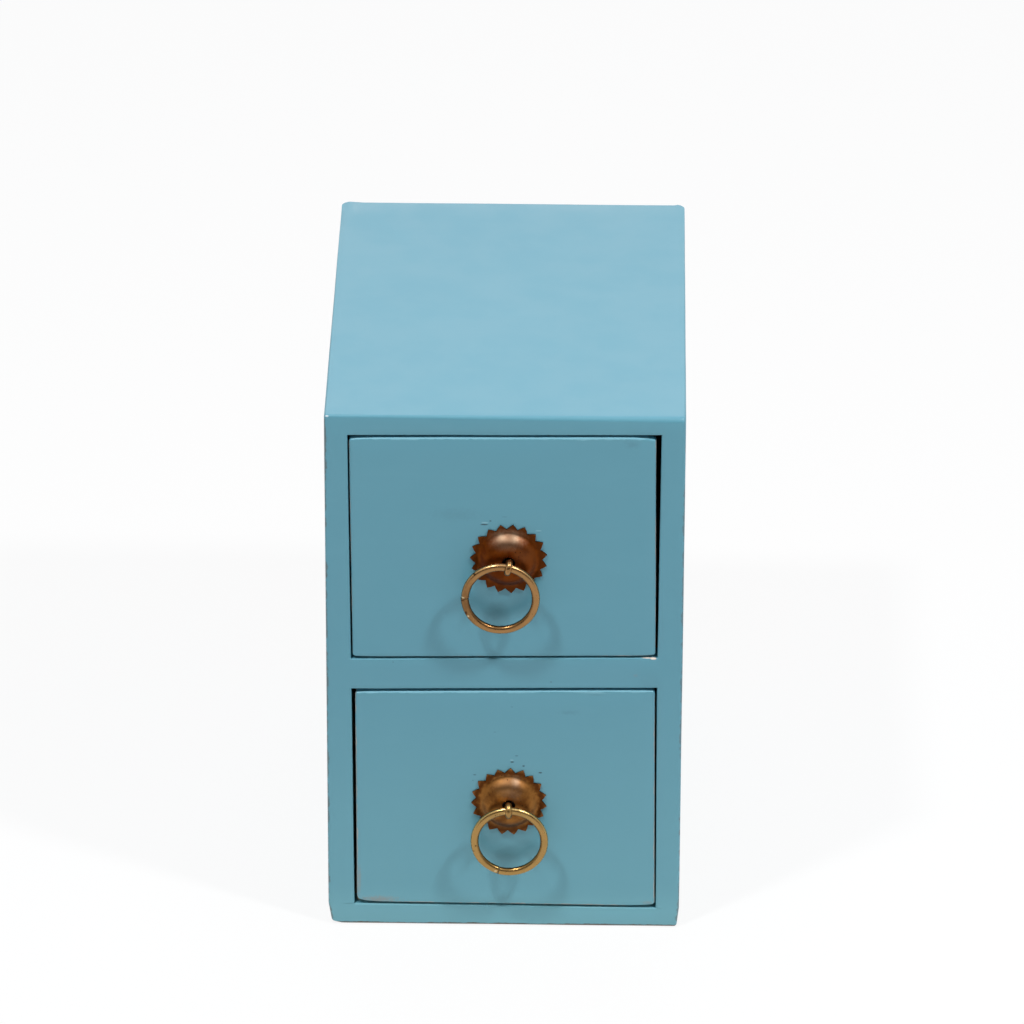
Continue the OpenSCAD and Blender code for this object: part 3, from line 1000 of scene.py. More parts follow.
@dataclass
class Carcass:
    """The painted case: top, bottom, two sides and the divider."""

    width: float = 150 * MM
    depth: float = 208 * MM
    height: float = 243.8 * MM
    top_thickness: float = 8.7 * MM
    top_rise: float = 1.6 * MM
    bottom_thickness: float = 9.6 * MM
    bottom_rise: float = -0.9 * MM
    left_side: tuple[float, float, float] = (11.1 * MM, 10.5 * MM, 9.7 * MM)
    right_side: tuple[float, float, float] = (10 * MM, 10.7 * MM, 10 * MM)
    foot_wear: tuple[float, float] = (1.4 * MM, 1.0 * MM)
    divider_under: float = 115.6 * MM
    divider_thickness: float = 14.4 * MM
    divider_rise: float = 2.1 * MM
    arris: float = 1.2 * MM
    arris_at_right: float = 2.5 * MM
    opening_arris: float = 0.55 * MM
    rear_corner: float = 4.4 * MM
    rabbet_width: float = 4.5 * MM
    back_thickness: float = 3.0 * MM
    joint_ease: float = 0.005 * MM
    planing: HandPlaning = field(default_factory=HandPlaning)
    body: str = "carcass"

    @property
    def front(self) -> float:
        """The front plane."""
        return -self.depth / 2

    @property
    def back(self) -> float:
        """The back plane."""
        return self.depth / 2

    @property
    def top_under(self) -> float:
        """The underside of the top board at its middle."""
        return self.height - self.top_thickness

    @property
    def divider_over(self) -> float:
        """The upper face of the divider at its middle."""
        return self.divider_under + self.divider_thickness

    def sloped(self, z: float, rise: float, x: float) -> float:
        """Returns the height at x of a face that rises from left to right."""
        return z + rise * x / self.width

    def thickness(self, side: tuple[float, float, float], z: float) -> float:
        """Returns a side's thickness at a height.

        Args:
            side: Its thicknesses at its lower end, at the divider and at its upper end.
            z: The height.
        """
        middle = self.divider_under + self.divider_thickness / 2
        if z < middle:
            share = (z - self.bottom_thickness) / (middle - self.bottom_thickness)
            return side[0] + max(0.0, share) * (side[1] - side[0])
        share = (z - middle) / (self.top_under - middle)
        return side[1] + min(1.0, share) * (side[2] - side[1])

    def left_face(self, z: float) -> float:
        """Returns the place of the left side's inner face at a height."""
        return -self.width / 2 + self.thickness(self.left_side, z)

    def right_face(self, z: float) -> float:
        """Returns the place of the right side's inner face at a height."""
        return self.width / 2 - self.thickness(self.right_side, z)

    def opening(self, drawer: Drawer) -> list[tuple[float, float]]:
        """Returns an opening's corners as (x, z), from the lower left, anticlockwise.

        Args:
            drawer: Which drawer's opening.
        """
        if drawer is Drawer.UPPER:
            low, low_rise = self.divider_over, self.divider_rise
            high, high_rise = self.top_under, self.top_rise
        else:
            low, low_rise = self.bottom_thickness, self.bottom_rise
            high, high_rise = self.divider_under, self.divider_rise
        corners = []
        for z, rise, face in (
            (low, low_rise, self.left_face),
            (low, low_rise, self.right_face),
            (high, high_rise, self.right_face),
            (high, high_rise, self.left_face),
        ):
            x = face(z)
            corners.append((x, self.sloped(z, rise, x)))
        return corners

    def _frame_points(self) -> list[list[tuple[float, float]]]:
        """Returns the ladder-shaped front as rows of (x, z) points, from the foot up."""
        upper, lower = self.opening(Drawer.UPPER), self.opening(Drawer.LOWER)
        half = self.width / 2
        edges = [
            (self.bottom_thickness, self.bottom_rise, lower[0], lower[1]),
            (self.divider_under, self.divider_rise, lower[3], lower[2]),
            (self.divider_over, self.divider_rise, upper[0], upper[1]),
            (self.top_under, self.top_rise, upper[3], upper[2]),
        ]
        foot = [-half + self.foot_wear[0], lower[0][0], lower[1][0], half - self.foot_wear[1]]
        head = [-half, upper[3][0], upper[2][0], half]
        rows = [[(x, 0.0) for x in foot]]
        for z, rise, left, right in edges:
            ends = [(x, self.sloped(z, rise, x)) for x in (-half, half)]
            rows.append([ends[0], left, right, ends[1]])
        rows.append([(x, self.height) for x in head])
        return rows

    def _whole(self) -> Bench:
        """Returns the five boards as one ladder-shaped case, before its arrises are rounded."""
        rows = self._frame_points()
        bench = Bench.grid("case", 4, 6)
        for vertex in bench.piece.data.vertices:
            column = round((vertex.co.x + 0.5) * 3)
            row = round((vertex.co.z + 0.5) * 5)
            x, z = rows[row][column]
            vertex.co = Vector((x, self.front, z))
        with bench.edit(Pick.FACE):
            for corners in (self.opening(drawer) for drawer in Drawer):
                x = sum(c[0] for c in corners) / 4
                z = sum(c[1] for c in corners) / 4
                bench.pick_faces(lambda c, n: abs(c.x - x) < 5 * MM and abs(c.z - z) < 5 * MM)
                bpy.ops.mesh.delete(type="FACE")
        bench.pull_back(self.depth)
        return bench

    def _at_end(self, point: Vector) -> bool:
        """Returns whether a point lies at the case's foot or head."""
        return point.z < TOUCH or point.z > self.height - TOUCH

    def _at_side(self, point: Vector) -> bool:
        """Returns whether a point lies at a side, or as far inside it as the foot is worn."""
        return abs(point.x) > self.width / 2 - max(self.foot_wear) - TOUCH

    def _on_outline(self, point: Vector) -> bool:
        """Returns whether a point lies on the case's outer outline, seen from the front."""
        if point.z < self.bottom_thickness - MM:
            return self._at_end(point) or self._at_side(point)
        return self._at_end(point) or abs(point.x) > self.width / 2 - TOUCH

    def _round_arrises(self, bench: Bench) -> None:
        """Rounds the outer arrises and those round the two openings.

        Args:
            bench: The case.
        """

        def outer(a: Vector, b: Vector) -> bool:
            if abs(a.y - b.y) > MM:
                return all(self._at_side(p) and self._at_end(p) for p in (a, b))
            at_end = abs(abs(a.y) - self.depth / 2) < TOUCH
            return at_end and self._on_outline(a) and self._on_outline(b)

        def inner(a: Vector, b: Vector) -> bool:
            if max(a.y, b.y) > self.front + TOUCH:
                return False
            return any(
                all(any(math.dist((p.x, p.z), c) < TOUCH for c in corners) for p in (a, b))
                for corners in (self.opening(drawer) for drawer in Drawer)
            )

        def rear_upright(a: Vector, b: Vector) -> bool:
            at_rear = min(a.y, b.y) > self.back - TOUCH and abs(a.z - b.z) > MM
            return at_rear and self._at_side(a) and self._at_side(b)

        bench.round_edges(rear_upright, self.rear_corner, 8)
        bench.round_edges(outer, self.arris, 5)
        bench.round_edges(inner, self.opening_arris, 4)

    def _widen_top_arris(self, point: Vector) -> Vector:
        """Widens the top front arris towards its right end, where it was sanded more.

        Args:
            point: A point of the case.

        Returns:
            Its new place.
        """
        corner = Vector((point.x, self.front, self.height))
        offset = point - corner
        if offset.y > 1.01 * self.arris or -offset.z > 1.01 * self.arris:
            return point
        share = min(1.0, max(0.0, point.x / self.width + 0.5))
        return corner + offset * (1 + (self.arris_at_right / self.arris - 1) * share**1.6)

    def _wear_foot(self, point: Vector) -> Vector:
        """Wears the foot away at its front left corner.

        Args:
            point: A point of the case.

        Returns:
            Its new place.
        """
        corner = self.foot_wear[0] - self.width / 2
        along = max(0.0, 1 - max(0.0, point.x - corner) / (4.4 * MM))
        up = max(0.0, 1 - point.z / (6 * MM))
        inwards = max(0.0, 1 - (point.y - self.front) / (16 * MM))
        return point + Vector((0, 0, 1.2 * MM * along * up * inwards))

    def _cut_rabbet(self, bench: Bench) -> None:
        """Cuts the rabbet that the back panel lies in.

        Args:
            bench: The case.
        """
        low = self.back - self.back_thickness
        cutter = Bench.block("rabbet", (-0.5, low, -0.5), (0.5, self.back + 5 * MM, 0.5))
        outer = self.rabbet_width
        half = self.width / 2

        def place(point: Vector) -> Vector:
            side = 1 if point.x > 0 else -1
            if point.z > 0:
                level, rise, up = self.top_under, self.top_rise, outer
            else:
                level, rise, up = self.bottom_thickness, self.bottom_rise, -outer
            face = self.right_face(level) if side > 0 else self.left_face(level)
            z = self.sloped(level, rise, side * half) + up
            return Vector((face + side * outer, point.y, z))

        cutter.move_points(place)
        bench.subtract(cutter)

    def _split(self, whole: Bench) -> dict[str, Bench]:
        """Saws the rounded case into its five boards, along the joints.

        The flat cuts lie a hair inside the openings, so that none runs along a face.

        Args:
            whole: The case.

        Returns:
            The boards by their nodes' names.
        """
        def lying(z: float, rise: float) -> tuple[Point, Point]:
            slope = rise / self.width
            return (0.0, 0.0, z), (-slope, 0.0, 1.0)

        def standing(side: int) -> tuple[Point, Point]:
            low, high = self.opening(Drawer.LOWER), self.opening(Drawer.UPPER)
            a, b = (low[3], high[0]) if side < 0 else (low[2], high[1])
            lean = (b[0] - a[0]) / (b[1] - a[1])
            return (a[0], 0.0, a[1]), (1.0, 0.0, -lean)

        under_top = lying(self.top_under - self.joint_ease, self.top_rise)
        over_bottom = lying(self.bottom_thickness + self.joint_ease, self.bottom_rise)
        left_end, right_end = standing(-1), standing(1)
        cuts = {
            "top_panel": [(under_top, False)],
            "bottom_panel": [(over_bottom, True)],
            "left_side": [(under_top, True), (over_bottom, False), (left_end, True)],
            "right_side": [(under_top, True), (over_bottom, False), (right_end, False)],
            "divider": [(under_top, True), (over_bottom, False), (left_end, False),
                        (right_end, True)],
        }
        boards = {}
        for name, planes in cuts.items():
            board = whole.copy(name + "_board")
            with board.edit(Pick.FACE):
                for (at, across), drop_front in planes:
                    board.cut(at, across, drop_front=drop_front, drop_back=not drop_front)
                board.weld(2 * self.joint_ease)
            boards[name] = board
        return boards

    def _open_joint_lines(self, point: Vector) -> Vector:
        """Opens the two short joint lines at the lower corners of the lower opening.

        Args:
            point: A point of one of the sides.

        Returns:
            Its new place.
        """
        joint = self.sloped(self.bottom_thickness, self.bottom_rise, point.x)
        face = self.left_face(joint) if point.x < 0 else self.right_face(joint)
        reach = abs(point.x - face)
        if abs(point.z - joint) > 0.05 * MM or point.y > self.front + 4 * MM:
            return point
        return point + Vector((0, 0, 0.22 * MM * max(0.0, 1 - reach / (3.2 * MM))))

    def build(self) -> dict[str, bpy.types.Object]:
        """Models the five boards.

        Returns:
            The boards by their nodes' names.
        """
        whole = self._whole()
        self._round_arrises(whole)
        with whole.edit(Pick.EDGE):
            half = self.width / 2
            ends = [-half + 5.6 * MM, -half + 8.2 * MM, half - 7 * MM]
            whole.cut_rows(0, [x * PLANED_STEP for x in range(-8, 9)] + ends)
            whole.cut_rows(2, [z * PLANED_STEP for z in range(1, 28)])
            along = [y * 2 * PLANED_STEP for y in range(-5, 6)]
            whole.cut_rows(1, [self.front + 4 * MM] + along)
        whole.move_points(self._widen_top_arris)
        whole.move_points(self._wear_foot)
        self._cut_rabbet(whole)
        boards = self._split(whole)
        whole.discard()
        for name, board in boards.items():
            if name in ("left_side", "right_side"):
                board.move_points(self._open_joint_lines)
            board.move_points(self.planing)
            board.shade()
        return {name: board.piece for name, board in boards.items()}

    def dress(self, pieces: dict[str, bpy.types.Object]) -> None:
        """Paints the boards and finishes the back panel and the nails.

        Args:
            pieces: The boards by their nodes' names.
        """
        front = self.front
        primer: Colour = (0.78, 0.66, 0.56)
        brown: Colour = (0.10, 0.075, 0.055)
        divider = (
            mark((62.6, -103.8, 130.65), (1.5, 1.2, 0.6), primer, 0.95, 0.4, 0.4),
            mark((60.2, -103.8, 130.95), (3.4, 1.2, 0.42), primer, 0.85, 0.5, 0.5),
            mark((19.7, -104, 119.0), (0.5, 1, 0.35), (0.04, 0.11, 0.15), 0.8),
            mark((-46.8, -104, 127.8), (0.45, 1, 0.35), (0.05, 0.15, 0.20), 0.6),
            mark((55.2, -104, 122.5), (1.5, 1, 1.0), (0.20, 0.25, 0.30), 0.4, 0.9),
        )
        glint = mark((-73.7, -103.5, 243.2), (1.1, 1.2, 0.5), (0.70, 0.76, 0.80), 0.7, 0.7, 0.5)
        half = self.width / 2

        def worn(x: float, inward: Point, width: float, strength: float) -> WearAndHighlightEdge:
            """Returns a rubbed front corner, its width given in millimetres."""
            return WearAndHighlightEdge((x, front, 0), inward, width * MM, brown, strength)

        left = worn(-half, (0.93, 0.37, 0), 0.68, 0.6)
        right = worn(half, (-0.93, 0.37, 0), 0.62, 0.45)
        marks = {
            "top_panel": (glint, left, right),
            "bottom_panel": (
                WearAndHighlightEdge((0, 0, 0), (0, 0, 1), 0.75 * MM, brown, 0.9),
                WearAndHighlightEdge((0, 0, 0.88 * MM), (0, 0, 1), 0.3 * MM, brown, 0.85),
                worn(self.foot_wear[0] - half, (0.92, 0.37, 0.14), 0.85, 0.6),
                worn(half - self.foot_wear[1], (-0.92, 0.37, 0.1), 0.75, 0.5),
            ),
            "left_side": (left,),
            "right_side": (right,),
            "divider": divider,
        }
        box = ((-67.5 * MM, 0, 8.5 * MM), (67.5 * MM, 0, 236.2 * MM))
        finish = PaintFinish(bare_from=self.front + 11 * MM, bare_box=box)
        for name, piece in pieces.items():
            dress(piece, finish.material(f"paint_{name}", marks[name]), Slot.PAINT, self.body)
            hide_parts(name)
        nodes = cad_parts
        back_ply = WoodFinish(spacing=4.0).material("back_ply", Grain.Z, 2.3)
        dress(nodes["back_panel"], back_ply, Slot.PLY)
        for name in ("carcass_pins", "back_panel_pins"):
            dress(nodes[name], SteelFinish().material(f"steel_{name}"), Slot.STEEL)


# The way inward, as (x, z), at each corner from the lower left, anticlockwise
INWARD = ((1, 1), (-1, 1), (-1, -1), (1, -1))


@dataclass
class Front:
    """One painted drawer front, cut to its own opening and worn at its corners."""

    drawer: Drawer
    carcass: Carcass
    side_gaps: tuple[float, float, float, float]
    corner_radius: tuple[float, float, float, float]
    wear: tuple[float, float, float, float]
    tilt: float
    box_floor: float
    marks: tuple[Mark, ...] = ()
    # Widths of the edge strips in millimetres: rubbed paint on three edges, a painted highlight on
    # the upper one.
    wear_and_highlight_widths: tuple[float, float, float, float] = (0.3, 0.2, 0.5, 0.2)
    thickness: float = 9.5 * MM
    gap_top: float = 1.1 * MM
    gap_bottom: float = 0.9 * MM
    wear_run: float = 14 * MM
    corner_steps: int = 6
    arris: float = 0.8 * MM
    back_arris: float = 0.3 * MM
    lip: float = 3.5 * MM
    box_half: float = 62.6 * MM
    box_board: float = 6 * MM
    groove_depth: float = 3 * MM
    groove_height: float = 4 * MM
    groove_width: float = 3.2 * MM
    hole: float = 3.2 * MM

    def corners(self) -> list[tuple[float, float]]:
        """Returns the front's corners as (x, z), from the lower left, anticlockwise."""
        opening = self.carcass.opening(self.drawer)
        gaps = (self.gap_bottom, self.gap_bottom, self.gap_top, self.gap_top)
        return [
            (c[0] + way[0] * side, c[1] + way[1] * gap)
            for c, way, side, gap in zip(opening, INWARD, self.side_gaps, gaps)
        ]

    def _outline(self) -> list[tuple[float, float]]:
        """Returns the worn and rounded outline as (x, z) points."""
        corners = self.corners()
        points: list[tuple[float, float]] = []
        for i, (corner, way) in enumerate(zip(corners, INWARD)):
            r, wear = self.corner_radius[i], self.wear[i]
            other = corners[i ^ 1]
            slope = (other[1] - corner[1]) / (other[0] - corner[0])
            part = []
            for share in (1.0, 0.8, 0.6, 0.4, 0.25):
                x = corner[0] + way[0] * share * self.wear_run
                worn = wear * (1 - share) ** 2
                part.append((x, corner[1] + slope * (x - corner[0]) + way[1] * worn))
            centre = (corner[0] + way[0] * r, corner[1] + way[1] * (r + wear))
            for step in range(self.corner_steps + 1):
                angle = math.pi / 2 * step / self.corner_steps
                part.append((centre[0] - way[0] * r * math.sin(angle),
                             centre[1] - way[1] * r * math.cos(angle)))
            points.extend(part if i in (1, 3) else reversed(part))
        return points

    def build(self) -> bpy.types.Object:
        """Models the front.

        Returns:
            The piece.
        """
        outline = self._outline()
        bench = Bench.circle(f"{self.drawer.value}_front", len(outline), 1.0, filled=True)
        front = self.carcass.front
        # The circle's points run round from +Y, so each takes the outline's next point in turn
        for vertex, (x, z) in zip(bench.piece.data.vertices, outline):
            vertex.co = Vector((x, front, z))
        bench.pull_back(self.thickness)
        back = front + self.thickness
        bench.round_edges(lambda a, b: max(a.y, b.y) < front + TOUCH, self.arris, 5)
        bench.round_edges(lambda a, b: min(a.y, b.y) > back - TOUCH, self.back_arris, 2)
        self._cut_joints(bench)
        with bench.edit(Pick.EDGE):
            bench.cut_rows(0, [x * PLANED_STEP + 2 * MM for x in range(-7, 8)])
            low, high = self.corners()[0][1], self.corners()[2][1]
            count = int((high - low) / PLANED_STEP)
            bench.cut_rows(2, [low + (i + 0.5) * PLANED_STEP for i in range(count + 1)])
        bench.move_points(HandPlaning(seed=8.1 if self.drawer is Drawer.UPPER else 5.3))
        bench.shade()
        return bench.piece

    def _cut_joints(self, bench: Bench) -> None:
        """Cuts the rabbets for the drawer's sides, the groove for its bottom and the pin's hole.

        Args:
            bench: The front.
        """
        front = self.carcass.front
        inner = front + self.thickness
        far = inner + 3 * MM
        turn = Matrix.Translation((0, 0, self.box_floor)) @ Matrix.Rotation(-self.tilt, 4, "Y")
        half = self.box_half - self.box_board
        reach = 12 * MM
        blocks = [
            ((-half - reach, front + self.lip, -0.05), (-half, far, 0.25)),
            ((half, front + self.lip, -0.05), (half + reach, far, 0.25)),
            (
                (-half - self.groove_depth, inner - self.groove_depth, self.groove_height),
                (half + self.groove_depth, far, self.groove_height + self.groove_width),
            ),
        ]
        for low, high in blocks:
            cutter = Bench.block("cutter", low, high)
            cutter.piece.data.transform(turn)
            bench.subtract(cutter)
        x, z = PULL_PLACES[self.drawer]
        middle = (x, front + self.thickness / 2, z)
        bench.subtract(Bench.rod("drill", middle, self.hole / 2, self.thickness + 6 * MM))

    def _wear_and_highlight_strips(self) -> list[WearAndHighlightEdge]:
        """Returns the front's edge strips, its lower, right, upper and left one: the upper one a
        painted highlight along the top arris, the others rubbed paint.
        """
        corners = self.corners()
        edges = []
        rubbed: Colour = (0.42, 0.38, 0.33)
        # Painted highlight along the upper edge's rounded arris.
        painted_highlight: Colour = (0.21, 0.47, 0.57)
        for i, wear in enumerate(self.wear_and_highlight_widths):
            (x0, z0), (x1, z1) = corners[i], corners[(i + 1) % 4]
            length = math.hypot(x1 - x0, z1 - z0)
            inward = ((z0 - z1) / length, 0.0, (x1 - x0) / length)
            # The painted highlight strip is moved down onto the arris.
            if i == 2:
                z0 -= 0.35 * MM
            colour = painted_highlight if i == 2 else rubbed
            edges.append(WearAndHighlightEdge((x0, 0.0, z0), inward, wear * MM, colour, 0.75))
        return edges

    def dress(self, piece: bpy.types.Object) -> None:
        """Paints the front.

        Args:
            piece: The front.
        """
        finish = PaintFinish(bare_from=self.carcass.front + self.thickness - 1.2 * MM)
        name = self.drawer.value
        marks = (*self.marks, *self._wear_and_highlight_strips())
        material = finish.material(f"paint_{name}_front", marks)
        dress(piece, material, Slot.PAINT, f"{name}_drawer")
        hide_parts(f"{name}_drawer_front")


@dataclass
class DrawerBox:
    """The bare wooden box behind a drawer front."""

    drawer: Drawer
    seed: float

    def dress(self) -> None:
        """Finishes the box's boards, bottom and nails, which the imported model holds."""
        name = self.drawer.value
        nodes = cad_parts
        wood = WoodFinish()
        for i, part in enumerate(("left", "right")):
            material = wood.material(f"wood_{name}_{part}", Grain.Y, self.seed + i)
            dress(nodes[f"{name}_drawer_{part}"], material, Slot.WOOD)
        back = wood.material(f"wood_{name}_back", Grain.X, self.seed + 4)
        dress(nodes[f"{name}_drawer_back"], back, Slot.WOOD)
        ply = WoodFinish(light=(0.66, 0.49, 0.30), dark=(0.52, 0.36, 0.19), spacing=5.0)
        bottom = ply.material(f"ply_{name}_bottom", Grain.X, self.seed + 7)
        dress(nodes[f"{name}_drawer_bottom"], bottom, Slot.PLY)
        dress(nodes[f"{name}_drawer_pins"], SteelFinish().material(f"steel_{name}"), Slot.STEEL)


@dataclass
class Pull:
    """A ring hung from a split pin through a toothed, domed rosette."""

    drawer: Drawer
    turn: float
    tooth_turn: float
    seam_turn: float
    seed: int
    rosette_brass: BrassFinish
    pin_brass: BrassFinish
    ring_brass: BrassFinish
    front: float = -104 * MM
    teeth: int = 19
    rosette_radius: float = 16.2 * MM
    tooth_depth: float = 2.3 * MM
    dome_radius: float = 12.9 * MM
    dome_height: float = 3.6 * MM
    dome_fullness: float = 3.4
    hole_radius: float = 2.8 * MM
    sheet: float = 0.8 * MM
    wire_width: float = 2.8 * MM
    eye_reach: float = 8.3 * MM
    eye_gap: float = 0.45 * MM
    ring_radius: float = 14.8 * MM
    ring_wire: float = 3.4 * MM
    ring_thickness: float = 2.8 * MM
    leg_length: float = 11 * MM
    front_thickness: float = 9.5 * MM

    def _place(self, turn: float = 0.0) -> Matrix:
        """Returns the matrix from the pull's own axes, Z out of the front, to the chest's.

        Args:
            turn: How far the piece is turned in the front, in degrees.
        """
        x, z = PULL_PLACES[self.drawer]
        return (
            Matrix.Translation((x, self.front, z))
            @ Matrix.Rotation(math.radians(turn), 4, "Y")
            @ Matrix.Rotation(math.pi / 2, 4, "X")
        )

    def _ring_middle(self) -> Point:
        """Returns the place of the ring's centre as it hangs."""
        return tuple(self._place(self.turn) @ Vector((0, self._ring_low, self.eye_reach)))

    @property
    def _ring_low(self) -> float:
        """How far the ring's centre hangs under the split pin's eye."""
        return -self.eye_gap / 3 - self.ring_radius

    def _dome(self, r: float) -> float:
        """Returns the dome's height above the rim at a radius."""
        share = min(1.0, r / self.dome_radius) ** self.dome_fullness
        return self.dome_height * (1 + math.cos(math.pi * share)) / 2

    def build_rosette(self) -> bpy.types.Object:
        """Models the rosette: teeth filed in a flat rim, the middle pressed into a dome.

        Returns:
            The piece.
        """
        chance = random.Random(self.seed)
        per_tooth = 4
        count = self.teeth * per_tooth
        bench = Bench.circle(f"{self.drawer.value}_rosette_sheet", count, self.hole_radius)
        rings = 18
        valley = self.rosette_radius - self.tooth_depth
        radii = [
            self.hole_radius + (self.dome_radius - self.hole_radius) * (i + 1) / rings
            for i in range(rings)
        ]
        radii += [(self.dome_radius + valley) / 2, valley]
        r_before = self.hole_radius
        with bench.edit(Pick.VERT):
            bench.pick_all()
            for r in radii:
                bpy.ops.mesh.extrude_region_move()
                share = r / r_before
                bpy.ops.transform.resize(value=(share, share, 1), center_override=(0, 0, 0))
                r_before = r
        tips = [
            (self.rosette_radius * (1 + chance.uniform(-0.012, 0.008)), chance.uniform(-1.1, 1.1))
            for _ in range(self.teeth)
        ]
        first = math.radians(self.tooth_turn)
        rim = valley - 0.05 * MM

        def file_teeth(point: Vector) -> Vector:
            r = math.hypot(point.x, point.y)
            angle = math.atan2(point.y, point.x)
            step = 2 * math.pi / self.teeth
            if r > rim:
                place = (angle % (2 * math.pi)) / step
                tooth = round(place)
                off = abs(place - tooth) * 2
                tip, lean = tips[tooth % self.teeth]
                r = valley + (tip - valley) * (1 - off)
                angle += math.radians(lean) * (1 - off)
            z = self.sheet + self._dome(r)
            dent = 0.09 * MM * noise.noise(Vector((point.x, point.y, self.seed)) / (4.5 * MM))
            dent += 0.03 * MM * noise.noise(Vector((point.x, point.y, self.seed)) / (1.9 * MM))
            if r < self.dome_radius:
                z += dent
            angle += first
            return Vector((r * math.cos(angle), r * math.sin(angle), z))

        bench.move_points(file_teeth)
        bench.turn_outwards()
        self._face_out(bench)
        bench.thicken(self.sheet)

        def filed_edge(a: Vector, b: Vector) -> bool:
            """Whether an edge lies on the outer side of the filed rim."""
            outside = min(a.xy.length, b.xy.length) > rim
            return outside and min(a.z, b.z) > self.sheet - 0.3 * MM

        bench.round_edges(filed_edge, 0.12 * MM, 2)
        bench.piece.data.transform(self._place())
        bench.shade(40)
        return bench.piece

    def _face_out(self, bench: Bench) -> None:
        """Makes an open sheet's faces point out of the drawer front.

        Args:
            bench: The sheet, still in the pull's own axes.
        """
        if sum(p.normal.z for p in bench.piece.data.polygons) < 0:
            with bench.edit(Pick.FACE):
                bench.pick_all()
                bpy.ops.mesh.flip_normals()

    def build_ring(self) -> bpy.types.Object:
        """Models the ring: wire with flattened faces, spun round and butted at its seam.

        Returns:
            The piece.
        """
        chance = random.Random(self.seed + 5)
        bench = Bench.circle(f"{self.drawer.value}_pull_ring", 24, self.ring_wire / 2, filled=True)
        flat = self.ring_thickness / 2

        def section(point: Vector) -> Vector:
            round_share = 2 * point.y / self.ring_wire
            beaten = max(-1.0, min(1.0, 1.24 * round_share))
            thick = flat * (0.7 * round_share + 0.3 * beaten)
            return Vector((self.ring_radius + point.x, 0, thick))

        bench.move_points(section)
        with bench.edit(Pick.FACE):
            bench.pick_all()
            bpy.ops.mesh.spin(
                steps=120, angle=math.radians(359.25), center=(0, 0, 0), axis=(0, 0, 1)
            )
        bench.turn_outwards()
        bench.round_edges(lambda a, b: self._at_seam(a) and self._at_seam(b), 0.18 * MM, 2)
        offset = Vector((chance.uniform(-1, 1), chance.uniform(-1, 1), 0.3)) * 0.12 * MM

        def by_hand(point: Vector) -> Vector:
            angle = math.atan2(point.y, point.x) % (2 * math.pi)
            near_end = max(0.0, 1 - angle / math.radians(16)) ** 2
            out = point.normalized()
            swell = 0.05 * MM * noise.noise(point / (6 * MM) + Vector((self.seed, 0, 0)))
            return point + near_end * (offset + 0.22 * MM * out) + swell * out

        bench.move_points(by_hand)
        seam = Matrix.Rotation(math.radians(self.seam_turn), 4, "Z")
        move = Matrix.Translation((0, self._ring_low, self.eye_reach))
        bench.piece.data.transform(self._place(self.turn) @ move @ seam)
        bench.shade(50)
        return bench.piece

    @staticmethod
    def _at_seam(point: Vector) -> bool:
        """Returns whether a point lies on either end of the spun wire."""
        angle = math.degrees(math.atan2(point.y, point.x)) % 360
        return angle < 0.05 or angle > 359.2

    def _pin_path(self) -> list[tuple[float, float, float]]:
        """Returns half of the split pin's path as (out, up, heading) steps.

        It starts at the far side of the eye and ends at the tip of one splayed leg. The heading
        is the angle of the path, in degrees, in the plane of the eye.
        """
        eye = self.ring_wire / 2 + self.eye_gap
        bend = 0.3 * MM
        slit = 0.05 * MM
        steps: list[tuple[float, float, float]] = []
        half_turn = 150
        for i in range(0, 16):
            angle = half_turn * i / 15
            a = math.radians(angle)
            steps.append((self.eye_reach + eye * math.cos(a), eye * math.sin(a), angle + 90))
        start = steps[-1]
        neck_out = start[0] - 1.5 * MM
        for i in range(1, 6):
            share = i / 5
            ease = share * share * (3 - 2 * share)
            out = start[0] + (neck_out - start[0]) * share
            up = start[1] + (slit - start[1]) * ease
            steps.append((out, up, 240 - 60 * share))
        corner = -self.front_thickness - 0.1 * MM + bend
        for i in range(1, 5):
            out = neck_out + (corner - neck_out) * i / 4
            steps.append((out, slit, 180))
        thickness = self.wire_width / 2
        for i in range(1, 7):
            a = math.radians(90 * i / 6)
            r = bend + thickness
            steps.append((corner - r * math.sin(a), slit + r - r * math.cos(a), 180 - 90 * i / 6))
        last = steps[-1]
        for i in range(1, 5):
            steps.append((last[0], last[1] + self.leg_length * i / 4, 90))
        return steps

    def build_split_pin(self) -> bpy.types.Object:
        """Models the split pin: half-round wire led round the eye and back through the front.

        Returns:
            The piece.
        """
        half = self.wire_width / 2
        path = self._pin_path()
        mirrored = [(out, -up, 360 - heading) for out, up, heading in path]
        halves: list[Bench] = []
        for side, steps in ((1, path), (-1, mirrored)):
            bench = Bench.circle(f"{self.drawer.value}_pin_{side}", 24, half, filled=True)
            with bench.edit(Pick.FACE):
                bench.cut((0, 0, 0), (1, 0, 0), drop_back=True)
            self._sweep(bench, steps, side)
            halves.append(bench)
        deselect_all()
        for bench in halves:
            bench.piece.select_set(True)
        bpy.context.view_layer.objects.active = halves[0].piece
        bpy.ops.object.join()
        bench = Bench(f"{self.drawer.value}_eye_pin")
        with bench.edit(Pick.VERT):
            bench.weld()
        with bench.edit(Pick.FACE):
            bpy.ops.mesh.select_interior_faces()
            bpy.ops.mesh.delete(type="FACE")
        bench.piece.data.transform(self._place(self.turn))
        bench.turn_outwards()
        bench.shade(45)
        return bench.piece

    def _sweep(self, bench: Bench, steps: Sequence[Point], side: int) -> None:
        """Extrudes a half-round section along a path in the plane of the eye.

        Args:
            bench: The section, lying in the XY plane with its round side towards +X.
            steps: The path's (out, up, heading) steps.
            side: 1 where the section's round side is on the path's right, -1 on its left.
        """
        section = [v.co.copy() for v in bench.piece.data.vertices]

        def placed(step: Point) -> list[Vector]:
            out, up, heading = step
            a = math.radians(heading)
            right = Vector((0, -math.cos(a), math.sin(a))) * side
            across = Vector((1, 0, 0))
            centre = Vector((0, up, out))
            return [centre + right * p.x + across * p.y for p in section]

